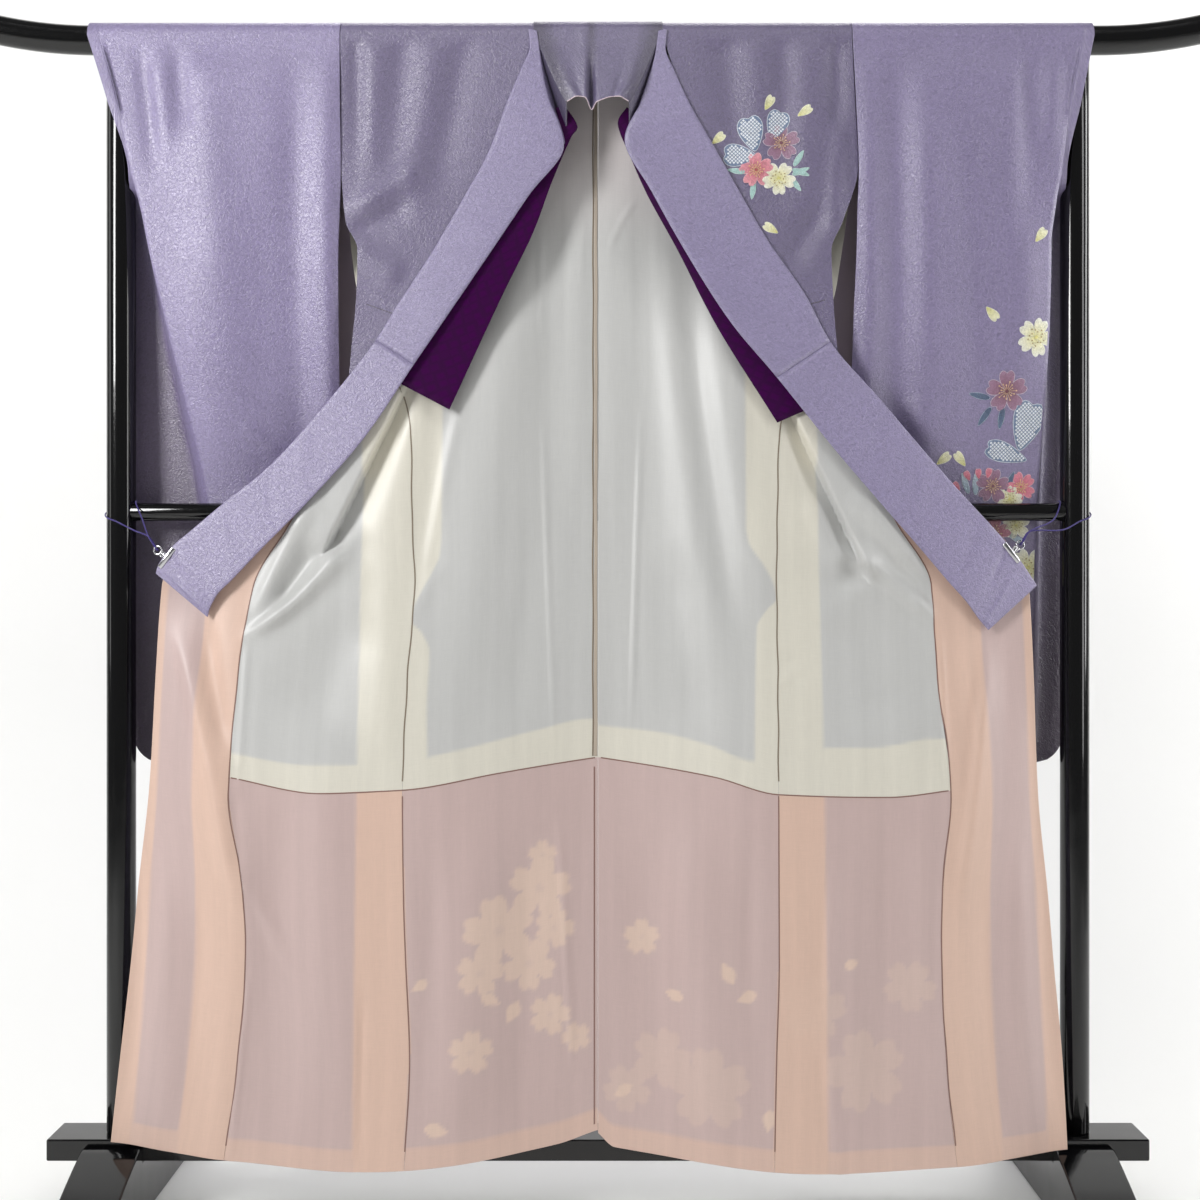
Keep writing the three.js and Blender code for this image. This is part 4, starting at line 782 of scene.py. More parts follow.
def peach_dye(side, points, share=None):
    """Peach lining, over lilac or alone, with the painted flowers behind it. On the overlap
    panel, share is a point's place from its seam to its edge."""
    x, z = points[..., 0], points[..., 2]
    world_x = x * SIDES[side]
    front = x > between(BODY[side], "side", z)
    front_alone = smooth(-SOFT_EDGE, SOFT_EDGE, between(FRONT_ALLOWANCE[side], "x", z) - x)
    alone = np.where(front, front_alone, 0)
    if share is not None:
        low, high = between(OKUMI_BAND, "from", z), between(OKUMI_BAND, "to", z)
        alone = 1 - smooth(-0.015, 0.015, share - low) * smooth(-0.015, 0.015, high - share)
    hem = between(HEM[side], "z", x, at="x")
    alone = np.maximum(alone, 0.75 * smooth(-SOFT_EDGE, SOFT_EDGE, hem + HEM_ALLOWANCE - z))
    dye = mix(dyed(points, PEACH_OVER_LILAC), dyed(points, PEACH_ALONE), alone)
    flower = np.zeros(x.shape)
    for cx, cz, radius, turn, pale in zip(*BODY_BLOSSOMS.values()):
        strength = 0.35 + 0.45 * pale
        flower = np.maximum(flower, strength * blossom_cover(world_x, z, cx, cz, radius, turn))
        flower = flower - 0.25 * pale * blossom_cover(world_x, z, cx, cz, radius * 0.16, turn)
    for cx, cz, length, turn in zip(*BODY_PETALS.values()):
        flower = np.maximum(flower, 0.9 * petal_cover(world_x, z, cx, cz, length, turn))
    return mix(dye, dyed(points, PEACH_OVER_FLOWER), np.clip(flower, 0, 1) * (1 - 0.7 * alone))


def lilac_dye(points, deep_below, lilac=None):
    """Lilac that turns to deep mauve below a height."""
    z = points[..., 2]
    share = 1 - smooth(deep_below - 190, deep_below + 190, z)
    return mix(dyed(points, lilac or LILAC), dyed(points, DEEP_MAUVE), share)


def rows_between(low, high, cell):
    """Levels about one cell apart."""
    return np.linspace(low, high, int((high - low) / cell) + 1)


DEEP_BELOW = 330  # height on the body where the lilac is halfway to deep mauve
SEAM_BEIGE = "#B7AA9B"
SEAM_SHADE = {"white": "#857868", "peach": "#8A6A60"}


def seam_ribbon(side, line, width, colour, raised=0.35):
    """A narrow seam edge along points (x, z) of the opened sheet, just proud of the lining."""
    x, z = line
    step = np.stack([np.gradient(x), np.gradient(z)], -1)
    step /= np.linalg.norm(step, axis=1, keepdims=True)
    aside = np.array([-0.5, 0.5]) * width
    x = x[:, None] - step[:, 1:] * aside
    z = z[:, None] + step[:, :1] * aside
    points = np.stack([x, sheet_depth(side, x, z) - raised, z], -1)
    return points, dyed(points, colour)


for side in SIDES:
    body, shoulder = BODY[side], SHOULDER[side]

    def hem_to_seam(nominal, x):
        """Heights of the lower panels, from the hem's curve up to the lining seam's."""
        hem, seam = between(HEM[side], "z", x, at="x"), between(LINING_SEAM[side], "z", x, at="x")
        return hem + (nominal - HEM_LEVEL) / (SEAM_LEVEL - HEM_LEVEL) * (seam - hem)

    def seam_upward(nominal, x):
        """Heights of the upper panels, from the seam's curve to level rows."""
        seam = between(LINING_SEAM[side], "z", x, at="x")
        rise = (nominal - SEAM_LEVEL) / (REGULAR_LEVEL - SEAM_LEVEL)
        return np.where(rise < 1, seam + rise * (REGULAR_LEVEL - seam), nominal)

    def all_heights(nominal, x):
        """Heights of the panels that go on past the lining seam."""
        return np.where(nominal < SEAM_LEVEL, hem_to_seam(nominal, x), seam_upward(nominal, x))

    def centre(z):
        """The centre seam, which leaves a hair's breadth between the halves."""
        return SEAM_HALF + 0 * z

    def back_edge(z):
        """The back's edge: its side seam, and above that where the sleeve is sewn on."""
        edge = np.where(z > OPEN_TOP, between(shoulder, "back", z), between(body, "side", z))
        return edge - SEAM_HALF

    def line(key, shift):
        """A seam of the table, moved aside."""
        return lambda z: between(body, key, z) + shift

    def back_grid(low, cell):
        """The back half from a level up to the shoulder line on the rail."""
        rows = rows_between(low, RAIL_HEIGHT, cell)
        hung = panel(side, centre, back_edge, (rows, all_heights), cell, 330, cell == PLAIN_CELL)
        over = over_rail(hung[-1, :, 0], rows_between(0, SHOULDER_TURN, 9)[1:])
        return np.concatenate([hung, over])

    def neck_grid(cell):
        """The middle of the back, which goes on over the rail to the neck seam."""
        return over_rail(rows_between(SEAM_HALF, NECK_HALF, cell),
                         rows_between(SHOULDER_TURN, NECK_TURN, 7))

    lining, neck = back_grid(SEAM_LEVEL, FINE_CELL), neck_grid(FINE_CELL)
    grids = [(lining, white_dye(side, lining)), (neck, dyed(neck, WHITE_ALONE), (0, 0, -1))]
    if side == "l":
        # the centre seam is pressed to this side: a beige fold, with a dark line along its edge that is
        # painted shadow
        z = rows_between(635, 1600, 8)
        grids.append(seam_ribbon(side, (3.2 + 0.3 * np.sin(z / 19), z), 4.6, SEAM_BEIGE, 0.7))
        grids.append(seam_ribbon(side, (7.0 + 0.4 * np.sin(z / 23), z), 2.0, SEAM_SHADE["white"], 0.4))
    z = rows_between(605, 1180, 8)
    x = between(body, "side", z)
    grids.append(seam_ribbon(side, (x + 0.5 * np.sin(z / 13), z), 1.8, SEAM_SHADE["white"]))
    piece = cloth_mesh(f"back_white_{side}", grids, side, (0, -1, 0), white_silk,
                       f"back_lining_{side}", "lining_silk")

    rows = rows_between(HEM_LEVEL, SEAM_LEVEL, FINE_CELL)
    lower = panel(side, centre, back_edge, (rows, hem_to_seam), FINE_CELL, 260)
    grids = [(lower, peach_dye(side, lower))]
    x = rows_between(4, float(between(body, "okumi", 600)) - 3, 7)
    seam = between(LINING_SEAM[side], "z", x, at="x")
    grids.append(seam_ribbon(side, (x, seam), 1.6, SEAM_SHADE["peach"]))
    z = rows_between(110, 585, 8)
    grids.append(seam_ribbon(side, (between(body, "side", z), z), 1.6, SEAM_SHADE["peach"]))
    if side == "l":
        z = rows_between(130, 620, 8)
        grids.append(seam_ribbon(side, (5.0 + 0 * z, z), 1.8, SEAM_SHADE["peach"]))
    piece = cloth_mesh(f"back_peach_{side}", grids, side, (0, -1, 0), peach_silk,
                       f"back_hem_lining_{side}", "hem_lining_silk")

    outer, neck = back_grid(HEM_LEVEL, PLAIN_CELL), neck_grid(PLAIN_CELL)
    grids = [(outer, lilac_dye(outer, DEEP_BELOW)), (neck, dyed(neck, LILAC), (0, 0, 1))]
    piece = cloth_mesh(f"back_crepe_{side}", grids, side, (0, 1, 0), crepe,
                       f"back_outer_{side}", "crepe_silk")

    # front panel: white above, peach below, crepe behind
    low_rows = rows_between(HEM_LEVEL, SEAM_LEVEL, FINE_CELL)
    high_rows = rows_between(SEAM_LEVEL, OPEN_TOP, FINE_CELL)
    edges = line("side", SEAM_HALF), line("okumi", -SEAM_HALF)
    upper = panel(side, *edges, (high_rows, seam_upward), FINE_CELL, 230)
    piece = cloth_mesh(f"front_white_{side}", [(upper, white_dye(side, upper))], side, (0, -1, 0),
                       white_silk, f"front_lining_{side}", "lining_silk")
    lower = panel(side, *edges, (low_rows, hem_to_seam), FINE_CELL, 230)
    piece = cloth_mesh(f"front_peach_{side}", [(lower, peach_dye(side, lower))], side, (0, -1, 0),
                       peach_silk, f"front_hem_lining_{side}", "hem_lining_silk")
    rows = rows_between(HEM_LEVEL, OPEN_TOP, PLAIN_CELL)
    outer = panel(side, *edges, (rows, all_heights), PLAIN_CELL, 230, True)
    piece = cloth_mesh(f"front_crepe_{side}", [(outer, lilac_dye(outer, DEEP_BELOW))], side,
                       (0, 1, 0), crepe, f"front_outer_{side}", "crepe_silk")

    # overlap panel: peach from hem to collar, crepe behind
    edges = line("okumi", SEAM_HALF), line("edge", 0)
    rows = rows_between(HEM_LEVEL, OPEN_TOP, FINE_CELL)
    inside = panel(side, *edges, (rows, all_heights), FINE_CELL, 150)
    share = np.broadcast_to(np.linspace(0, 1, inside.shape[1]), inside.shape[:2])
    z = rows_between(115, 985, 8)
    x = between(body, "okumi", z) + 0.4 * np.sin(z / 17)
    seam = seam_ribbon(side, (x, z), 1.6, SEAM_SHADE["peach"])
    piece = cloth_mesh(f"okumi_peach_{side}", [(inside, peach_dye(side, inside, share)), seam], side,
                       (0, -1, 0), peach_silk, f"okumi_lining_{side}", "hem_lining_silk")
    rows = rows_between(HEM_LEVEL, OPEN_TOP, PLAIN_CELL)
    outer = panel(side, *edges, (rows, all_heights), PLAIN_CELL, 150, True)
    piece = cloth_mesh(f"okumi_crepe_{side}", [(outer, lilac_dye(outer, DEEP_BELOW))], side,
                       (0, 1, 0), crepe, f"okumi_outer_{side}", "crepe_silk")


# Shoulder parts of the fronts. The same lengths of crepe, over the rail and down in front of
# the back to the collar seam, white silk inside. The armhole edge hangs free below the sleeve.
SHOULDER_CREASES = {
    "l": table(CREASE_COLUMNS, [
        (335, 1900, 331, 1400, 11, 14, -6, 0, 0), (306, 1900, 312, 1330, 24, 28, 6, 0, 0),
        (236, 1900, 300, 1360, 20, 28, -5, 0, 0), (190, 1900, 268, 1320, 28, 32, 5, 0, 0),
        (160, 1760, 232, 1380, 22, 26, -5, 0, 0), (352, 1378, 230, 1466, 13, 24, 8, 6, 0),
        (350, 1352, 250, 1400, 12, 20, -5, 4, 0), (345, 1340, 262, 1290, 16, 20, 5, 0, 0),
        (322, 1275, 255, 1245, 4, 4, 1.5, 0, 0.7)]),
    "r": table(CREASE_COLUMNS, [
        (333, 1900, 330, 1420, 11, 14, -5, 0, 0), (292, 1900, 288, 1300, 26, 30, 6, 0, 0),
        (250, 1900, 256, 1380, 20, 24, -4, 0, 0), (206, 1900, 232, 1440, 24, 28, 5, 0, 0),
        (160, 1760, 196, 1400, 22, 26, -5, 0, 0), (336, 1540, 322, 1330, 14, 18, 6, 0, 0),
        (318, 1400, 250, 1300, 16, 22, -6, 0, 0), (318, 1250, 270, 1262, 4, 4, 1.5, 0, -0.7)]),
}
SHOULDER_BOTTOM, SHOULDER_WIDTH = 1160, 270
TUCK = {"l": (318, 268, 1256, 1238), "r": (312, 272, 1262, 1250)}  # x and z of both ends
TUCK_SHADE = "#4A4158"
# painted shade: the shoulders' crepe is darker than the body's lilac, the right one darkest
SHOULDER_SHADED_LILAC = {"l": "#6A6082", "r": "#655B7D"}


def shoulder_depth(side, x, z):
    """Depth of the middle of the front shoulder panel."""
    rows = SHOULDER[side]
    armhole, collar = between(rows, "armhole", z), between(rows, "collar", z)
    share = (x - collar) / (armhole - collar)
    inner_y, outer_y = between(rows, "collar_y", z), between(rows, "armhole_y", z)
    flat = inner_y + share * (outer_y - inner_y)
    fading = 1 - smooth(RAIL_HEIGHT - 25, RAIL_HEIGHT, z)
    return flat + np.minimum(crease_depth(SHOULDER_CREASES[side], x, z) * fading, 9)


for side in SIDES:
    for name, cell, toward, material, node, slot in (
            ("crepe", FINE_CELL, (0, -1, 0), crepe, "shoulder_outer", "crepe_silk"),
            ("white", PLAIN_CELL, (0, 1, 0), white_silk, "shoulder_lining", "lining_silk")):
        rows = rows_between(SHOULDER_BOTTOM, RAIL_HEIGHT, cell)[:, None]
        shares = np.linspace(0, 1, int(SHOULDER_WIDTH / cell) + 1)
        collar, armhole = (between(SHOULDER[side], key, rows) for key in ("collar", "armhole"))
        x = collar + shares * (armhole - collar)
        hung = np.stack([x, shoulder_depth(side, x, rows + 0 * x), rows + 0 * x], -1)
        over = over_rail(x[-1], rows_between(SHOULDER_TURN, 180, 9)[:-1][::-1])
        points = np.concatenate([hung, over])
        dye = dyed(points, SHOULDER_SHADED_LILAC[side] if name == "crepe" else WHITE_OVER_LILAC)
        grids = [(points, dye)]
        if name == "crepe":
            # a tuck sewn across the inside shows as one fine line
            x0, x1, z0, z1 = TUCK[side]
            x = np.linspace(x0, x1, 14)[:, None] + np.zeros((1, 2))
            z = np.linspace(z0, z1, 14)[:, None] + np.array([-0.7, 0.7])
            line = np.stack([x, shoulder_depth(side, x, z) - 0.4, z], -1)
            grids.append((line, dyed(line, TUCK_SHADE)))
        piece = cloth_mesh(f"shoulder_{name}_{side}", grids, side, toward, material,
                           f"{node}_{side}", slot)


# Sleeves. One length of crepe from the front's bottom over the rail to the back's bottom, lined
# with white silk, sewn shut down the outer edge below the cuff and along the rounded bottom.
SLEEVE_COLUMNS = "z inner back_inner fold outer front front_edge back back_edge"
SLEEVE = {
    "l": table(SLEEVE_COLUMNS, [
        (1633, 357.8, 357.8, 690, 708, -22.4, -22.4, 22.4, 22.4),
        (1541, 356.8, 356.8, 664, 678, -27, -30, 23, 26),
        (1440, 354.8, 354.8, 643, 650, -32, -24, 26, 30), (1390, 356, 350, 630, 658, -32, 23, 32, 30),
        (1340, 358, 342, 620, 663, -32, 27, 38, 32), (1240, 359, 334, 598, 662, -24, 28, 43, 33),
        (1129, 360, 337, 574, 664, -6, 31, 46, 35), (985, 360, 350, 547, 664, 18, 34, 48, 38),
        (800, 360, 358, 535, 664, 24, 37, 52, 41), (660, 361, 359, 535, 662, 31, 40, 50, 44),
        (618, 363, 361, 535, 648, 39, 39, 43, 43)]),
    "r": table(SLEEVE_COLUMNS, [
        (1633, 352.8, 352.8, 672, 688, -22.4, -22.4, 22.4, 22.4),
        (1541, 356.8, 356.8, 652, 668, -27, -30, 23, 26),
        (1440, 359.8, 357.8, 638, 649, -32, -24, 26, 30), (1390, 358, 348, 630, 658, -32, 23, 32, 30),
        (1340, 357, 338, 624, 662, -32, 27, 38, 32), (1240, 354, 328, 624, 656, -24, 30, 43, 35),
        (1129, 353, 332, 622, 658, -6, 33, 46, 37), (985, 353, 343, 618, 660, 18, 35, 48, 39),
        (800, 353, 351, 616, 660, 24, 37, 52, 41), (660, 354, 352, 616, 660, 31, 40, 50, 44),
        (618, 356, 354, 600, 648, 39, 39, 43, 43)]),
}
# painted shade: the sleeves' white lining is dark pinkish grey, for the shade inside the sleeves
SLEEVE_LINING_SHADED = "#A2979A"
# painted light: the left sleeve's crepe is lighter than the right's, as if lit from the left
SLEEVE_LILAC_LIT_FROM_LEFT = {"l": "#887DA4", "r": "#7E7399"}
CORNER_ROUND, CORNER_EDGE = 42, 661  # of the outer bottom corner
SLEEVE_BOTTOM, SLEEVE_FLAT = 618, 250
SLEEVE_DEEP_BELOW = 860
# below this height the side turned back behind the post is painted in shade
POST_SHADE_TOP = 1420  # height where the part behind the post begins
SLEEVE_CREASES = {
    "l": table(CREASE_COLUMNS, [
        (520, 1800, 470, 600, 95, 105, 11, 0, 0), (376, 1750, 372, 600, 30, 34, 8, 0, 0),
        (420, 1700, 405, 650, 24, 30, -7, 0, 0), (615, 1700, 592, 1440, 12, 16, 6, 0, 0),
        (645, 1700, 606, 1410, 9, 12, -5, 0, 0), (588, 1660, 566, 1480, 11, 14, -5, 0, 0),
        (549, 1700, 505, 1000, 30, 36, 6, 4, 0), (570, 1350, 530, 990, 24, 28, 5, 0, 0),
        (455, 1500, 450, 900, 30, 36, -4, 4, 0), (500, 1100, 440, 1050, 8, 9, 1.6, 0, 0),
        (470, 1020, 400, 1035, 7, 8, 1.6, 0, 0)]),
    "r": table(CREASE_COLUMNS, [
        (500, 1800, 520, 600, 90, 105, 10, 0, 0), (372, 1750, 374, 600, 22, 26, 7, 0, 0),
        (412, 1700, 420, 900, 22, 28, -6, 0, 0), (640, 1700, 622, 1440, 12, 16, 5, 0, 0),
        (600, 1700, 585, 1300, 16, 22, -5, 0, 0), (560, 1700, 596, 1050, 24, 30, 6, 6, 0),
        (450, 1640, 462, 1000, 20, 26, 5, -4, 0), (500, 1620, 540, 950, 22, 30, -5, 0, 0),
        (440, 1150, 470, 960, 24, 28, 5, 0, 0)]),
}


def sleeve_depth(side, x, z, wall, turned=0.0):
    """Depth of the middle of a sleeve's wall, front or back, some share turned to the back."""
    rows = SLEEVE[side]
    inside, edge = between(rows, wall, z), between(rows, f"{wall}_edge", z)
    fading = smooth(0, 60, z - SLEEVE_BOTTOM) * (1 - smooth(RAIL_HEIGHT - 60, RAIL_HEIGHT - 5, z))
    fading = fading * (1 - smooth(0, 0.5, turned)) * smooth(0, 30, x - 345)
    crease = crease_depth(SLEEVE_CREASES[side], x, z) * fading
    return inside + (edge - inside) * turned + (crease if wall == "front" else -0.6 * crease)


def sleeve_wall(side, wall, rows, cell):
    """Grid of a wall: its flat part, then the side that turns back before it goes on outward."""
    z = rows[:, None]
    inner = between(SLEEVE[side], "inner" if wall == "front" else "back_inner", z)
    fold, outer = between(SLEEVE[side], "fold", z), between(SLEEVE[side], "outer", z)
    into = np.clip((SLEEVE_BOTTOM + CORNER_ROUND - z) / CORNER_ROUND, 0, 1)
    outer = np.where(into > 0, CORNER_EDGE - CORNER_ROUND * (1 - np.sqrt(1 - into ** 2)), outer)
    flat = np.linspace(0, 1, int(SLEEVE_FLAT / cell) + 1)[:-1]
    past = np.linspace(0, 1, 19)
    aside = 0.14 * smooth(0, 0.3, past) + 0.86 * smooth(0.3, 1, past) ** 1.2
    x = np.concatenate([inner + flat * (fold - inner), fold + aside * (outer - fold)], 1)
    if wall == "front":
        turning = smooth(-0.1, 0.62, past) - smooth(-0.1, 0.62, 0) * (1 - past)
        turned = np.concatenate([0 * flat, turning])
    else:
        turned = np.concatenate([0 * flat, aside])
    turned = np.clip(turned, 0, 1) + 0 * z
    return np.stack([x, sleeve_depth(side, x, z + 0 * x, wall, turned), z + 0 * x], -1)


for side in SIDES:
    for name, cell, toward, material, node, slot in (
            ("crepe", 5.0, 1, crepe, "sleeve_outer", "crepe_silk"),
            ("white", 10.0, -1, white_silk, "sleeve_lining", "lining_silk")):
        rows = rows_between(SLEEVE_BOTTOM, RAIL_HEIGHT, cell)
        front = sleeve_wall(side, "front", rows, cell)
        over = over_rail(front[-1, :, 0], rows_between(0, 180, 9)[1:-1][::-1])
        back = sleeve_wall(side, "back", rows[::-1], cell)
        points = np.concatenate([front, over, back])
        if name == "crepe":
            dye = lilac_dye(points, SLEEVE_DEEP_BELOW, SLEEVE_LILAC_LIT_FROM_LEFT[side])
            # painted shade: below the cuff, the side that turns back behind the post is darkened toward
            # deep mauve, for the narrow gap between post and fold
            past = smooth(0, 24, points[..., 0] - between(SLEEVE[side], "fold", points[..., 2]) - 4)
            dye = mix(dye, dyed(points, DEEP_MAUVE), 0.75 * past * (points[..., 2] < POST_SHADE_TOP))
        else:
            dye = dyed(points, SLEEVE_LINING_SHADED)
        # the front half faces the viewer, so the side that the whole turns out is found there
        facing = grid_normals(front, (0, -1, 0))[5, 5]
        whole = grid_normals(points, (0, 0, 1))[5, 5]
        up = toward if facing @ whole > 0 else -toward
        piece = cloth_mesh(f"sleeve_{name}_{side}", [(points, dye)], side, (0, 0, up), material,
                           f"{node}_{side}", slot)


# Painted design. Blossoms, loose petals, leaves and patches of tie-dyed lattice lie on the crepe
# of the shoulder and sleeve at +X: each is a film of dye with a pale resist outline, laid just
# proud of the cloth and following its folds.
PETAL_INK = {  # a petal's root, its tip and its pale outline
             "yellow": ("#C9C46A", "#EDEBCB", "#F1EFDF"), "mauve": ("#6B2540", "#97708D", "#D5C7D6"),
             "coral": ("#A83046", "#E294A1", "#EFB9C0"), "white": ("#D9D27C", "#E9E8DB", "#F2F1EA"),
             "rose": ("#9C2E48", "#B97688", "#E0C2CB"), "pink": ("#C24F6A", "#DD7F93", "#EDC3CB"),
             "mint": ("#8FB9B4", "#A8CCC6", "#C9DDD9"), "blue": ("#2F4668", "#47607F", "#AFC1CF"),
             "pale": ("#8EA6B8", "#B4C4D1", "#D5DFE6"), "lattice": ("#5F7494", "#667B9B", "#D3DBE6")}
STAMEN_INK = {"mauve": "#DDB98F", "coral": "#E8C489", "white": "#9A7A2C", "rose": "#E8D2A0",
              "pink": "#EFD28F"}
PAINT_LIFT, LAYER_LIFT = 0.3, 0.28  # of the first film above the cloth, and of each one above it
LATTICE_PITCH, LATTICE_SPOT, LATTICE_MARGIN, SPOT_WHITE = 5.2, 1.9, 2.4, "#E4E8EF"


def petal_outline(place, length, turn, wide, notch):
    """A petal or leaf with a tip that may be notched: its closed outline, a point inside it,
    and its root with the length over which its ink changes."""
    angle = np.linspace(0, 2 * np.pi, 29)[:-1]
    along = 0.5 - 0.5 * np.cos(angle) - notch * np.exp(-(((angle - np.pi) / 0.24) ** 2))
    across = wide * np.sin(angle) * (0.34 + 0.66 * along if notch else 0.8 - 0.3 * along)
    way = np.array([math.cos(math.radians(turn)), math.sin(math.radians(turn))])
    points = along[:, None] * way + across[:, None] * np.array([-way[1], way[0]])
    root = np.array(place)
    return root + length * points, root + 0.55 * length * way, (root, length)


def inked(patches, outline, ink, layer, edge=0.7):
    """A petal's pale outline, and its colour inside that."""
    points, middle, shading = outline
    root, tip, pale = PETAL_INK[ink]
    reach = np.linalg.norm(points - middle, axis=1)[:, None]
    wider = middle + (points - middle) * (1 + edge / reach)
    patches.append((middle, wider, pale, pale, layer, shading))
    patches.append((middle, points, root, tip, layer + 1, shading))


def circle(radius, corners):
    """Corners of a small round patch about its middle."""
    angle = np.arange(corners) * 2 * np.pi / corners
    return radius * np.stack([np.cos(angle), np.sin(angle)], -1)


def blossom(patches, x, z, radius, turn, ink):
    """Five notched petals, with fifteen stamens of three lengths round an eye."""
    for petal in range(5):
        at = turn + 72 * petal
        outline = petal_outline((x, z), radius * 1.08, at, 0.47, 0.17)
        inked(patches, outline, ink, 0 if petal % 2 else 1)
    for spoke in range(15):
        at = math.radians(turn + 24 * spoke + 7)
        reach = radius * (0.3 + 0.09 * (spoke % 3))
        way = np.array([math.cos(at), math.sin(at)])
        dot = np.array([x, z]) + reach * way
        anther = dot + circle(0.042 * radius, 6)
        patches.append((dot, anther, STAMEN_INK[ink], STAMEN_INK[ink], 4, None))
        if ink != "white":
            side_way = np.array([-way[1], way[0]]) * 0.3
            thread = np.array([(x, z) + side_way, dot + side_way, dot - side_way, (x, z) - side_way])
            patches.append((thread.mean(0), thread, STAMEN_INK[ink], STAMEN_INK[ink], 3, None))
    eye = (x, z) + circle(0.1 * radius, 12)
    patches.append((np.array([x, z]), eye, PETAL_INK[ink][0], PETAL_INK[ink][0], 4, None))


def lattice_lobe(patches, x, z, length, turn, wide):
    """A petal-shaped patch of tie-dye: rows of small white squares left on a blue-grey ground."""
    outline = petal_outline((x, z), length, turn, wide, 0.1)
    inked(patches, outline, "lattice", 0, 1.0)
    points, middle, _ = outline
    angles = np.arctan2(points[:, 1] - middle[1], points[:, 0] - middle[0])
    order = np.argsort(angles)
    reach = np.linalg.norm(points - middle, axis=1)
    count = int(length / LATTICE_PITCH) + 2
    diamond = LATTICE_SPOT * np.array([(1, 0), (0, 1), (-1, 0), (0, -1)])
    for row in range(-count, count + 1):
        for column in range(-count, count + 1):
            spot = np.array([row + column, row - column]) * LATTICE_PITCH / 2
            limit = np.interp(math.atan2(spot[1], spot[0]), angles[order], reach[order],
                              period=2 * np.pi)
            if np.hypot(*spot) < limit - LATTICE_MARGIN:
                spot = middle + spot
                patches.append((spot, spot + diamond, SPOT_WHITE, SPOT_WHITE, 2, None))


def paint_mesh(name, patches, depth, keep_inside, node):
    """Films of dye. Every patch follows the cloth whose depth is given, in rings about its
    middle 3 mm apart, and keep_inside holds it within that cloth's flat part."""
    points, faces, dyes = [], [], []
    for middle, outline, inner_ink, outer_ink, layer, shading in patches:
        rings = max(1, int(np.linalg.norm(outline - middle, axis=1).max() / 3))
        start, count = len(points), len(outline)
        flat = [middle]
        for ring in range(1, rings + 1):
            flat.extend(middle + (outline - middle) * ring / rings)
        root, length = shading or (middle, 1)
        shares = np.clip(np.linalg.norm(np.array(flat) - root, axis=1) / length, 0, 1)[:, None] ** 0.8
        flat = keep_inside(np.array(flat))
        x, z = flat[:, 0], flat[:, 1]
        slope_x = (depth(x + 1, z) - depth(x - 1, z)) / 2
        slope_z = (depth(x, z + 1) - depth(x, z - 1)) / 2
        proud = FACE + PAINT_LIFT + LAYER_LIFT * layer
        y = depth(x, z) - proud * np.sqrt(1 + slope_x ** 2 + slope_z ** 2)
        points.extend(np.stack([x, y, z], -1))
        inner, outer = (np.array(linear(ink)[:3]) for ink in (inner_ink, outer_ink))
        dyes.extend(inner * (1 - shares) + outer * shares)
        turning = np.cross(outline[0] - middle, outline[1] - middle)
        for corner in range(count):
            following = (corner + 1) % count
            pair = (corner, following) if turning > 0 else (following, corner)
            faces.append((start, start + 1 + pair[0], start + 1 + pair[1]))
            for ring in range(1, rings):
                low, high = start + 1 + (ring - 1) * count, start + 1 + ring * count
                faces.append((low + pair[0], high + pair[0], high + pair[1], low + pair[1]))
    piece = mesh_piece(name, np.array(points), faces, crepe)
    give_dye(piece, np.array(dyes))
    give_weave(piece, np.array(points)[:, (0, 2)] * MM)
    put_in_place(piece, node, "crepe_silk")


shoulder_paint = []
for x, z, length, turn in ((218, 1462, 46, 176), (217, 1470, 50, 102), (240, 1485, 44, 72)):
    lattice_lobe(shoulder_paint, x, z, length, turn, 0.46)
for x, z, turn, ink in ((268, 1443, -22, "mint"), (268, 1436, 20, "mint"), (264, 1432, -52, "mint"),
                        (215, 1426, -98, "mint"), (203, 1440, 172, "mint"), (270, 1448, 58, "mint")):
    inked(shoulder_paint, petal_outline((x, z), 24, turn, 0.22, 0), ink, 0)
for x, z, radius, turn, ink in ((253, 1481, 24, 20, "mauve"), (218, 1443, 23, 95, "coral"),
                                (249, 1431, 22, 55, "white")):
    blossom(shoulder_paint, x, z, radius, turn, ink)
for x, z, turn in ((231, 1527, 62), (276, 1518, 33), (158, 1480, 42), (247, 1355, 148)):
    inked(shoulder_paint, petal_outline((x, z), 23, turn, 0.34, 0.14), "yellow", 0)
sleeve_paint = []
for x, z, length, turn, wide in ((590, 1060, 70, 76, 0.42), (600, 1046, 62, 162, 0.3)):
    lattice_lobe(sleeve_paint, x, z, length, turn, wide)
for x, z, turn, ink in ((545, 1131, 168, "blue"), (547, 1118, 236, "blue"), (564, 1118, 262, "blue"),
                        (572, 1003, 66, "blue"), (520, 1000, 110, "pale"), (530, 998, 92, "pale"),
                        (545, 960, 200, "blue"), (600, 930, 150, "pale"), (575, 925, 235, "blue")):
    inked(sleeve_paint, petal_outline((x, z), 29, turn, 0.2, 0), ink, 0)
for x, z, turn in ((521, 1018, 118), (534, 1020, 96), (507, 1004, 128), (546, 1021, 78)):
    inked(sleeve_paint, petal_outline((x, z), 14, turn, 0.4, 0.06), "pink", 2)
for x, z, radius, turn, ink in ((605, 1213, 25, 68, "white"), (568, 1140, 27, 92, "mauve"),
                                (594, 1009, 20, 40, "pink"), (578, 992, 18, 75, "white"),
                                (554, 1010, 23, 12, "mauve"), (556, 944, 24, 85, "rose"),
                                (588, 955, 19, 30, "white"), (606, 896, 26, 50, "white")):
    blossom(sleeve_paint, x, z, radius, turn, ink)
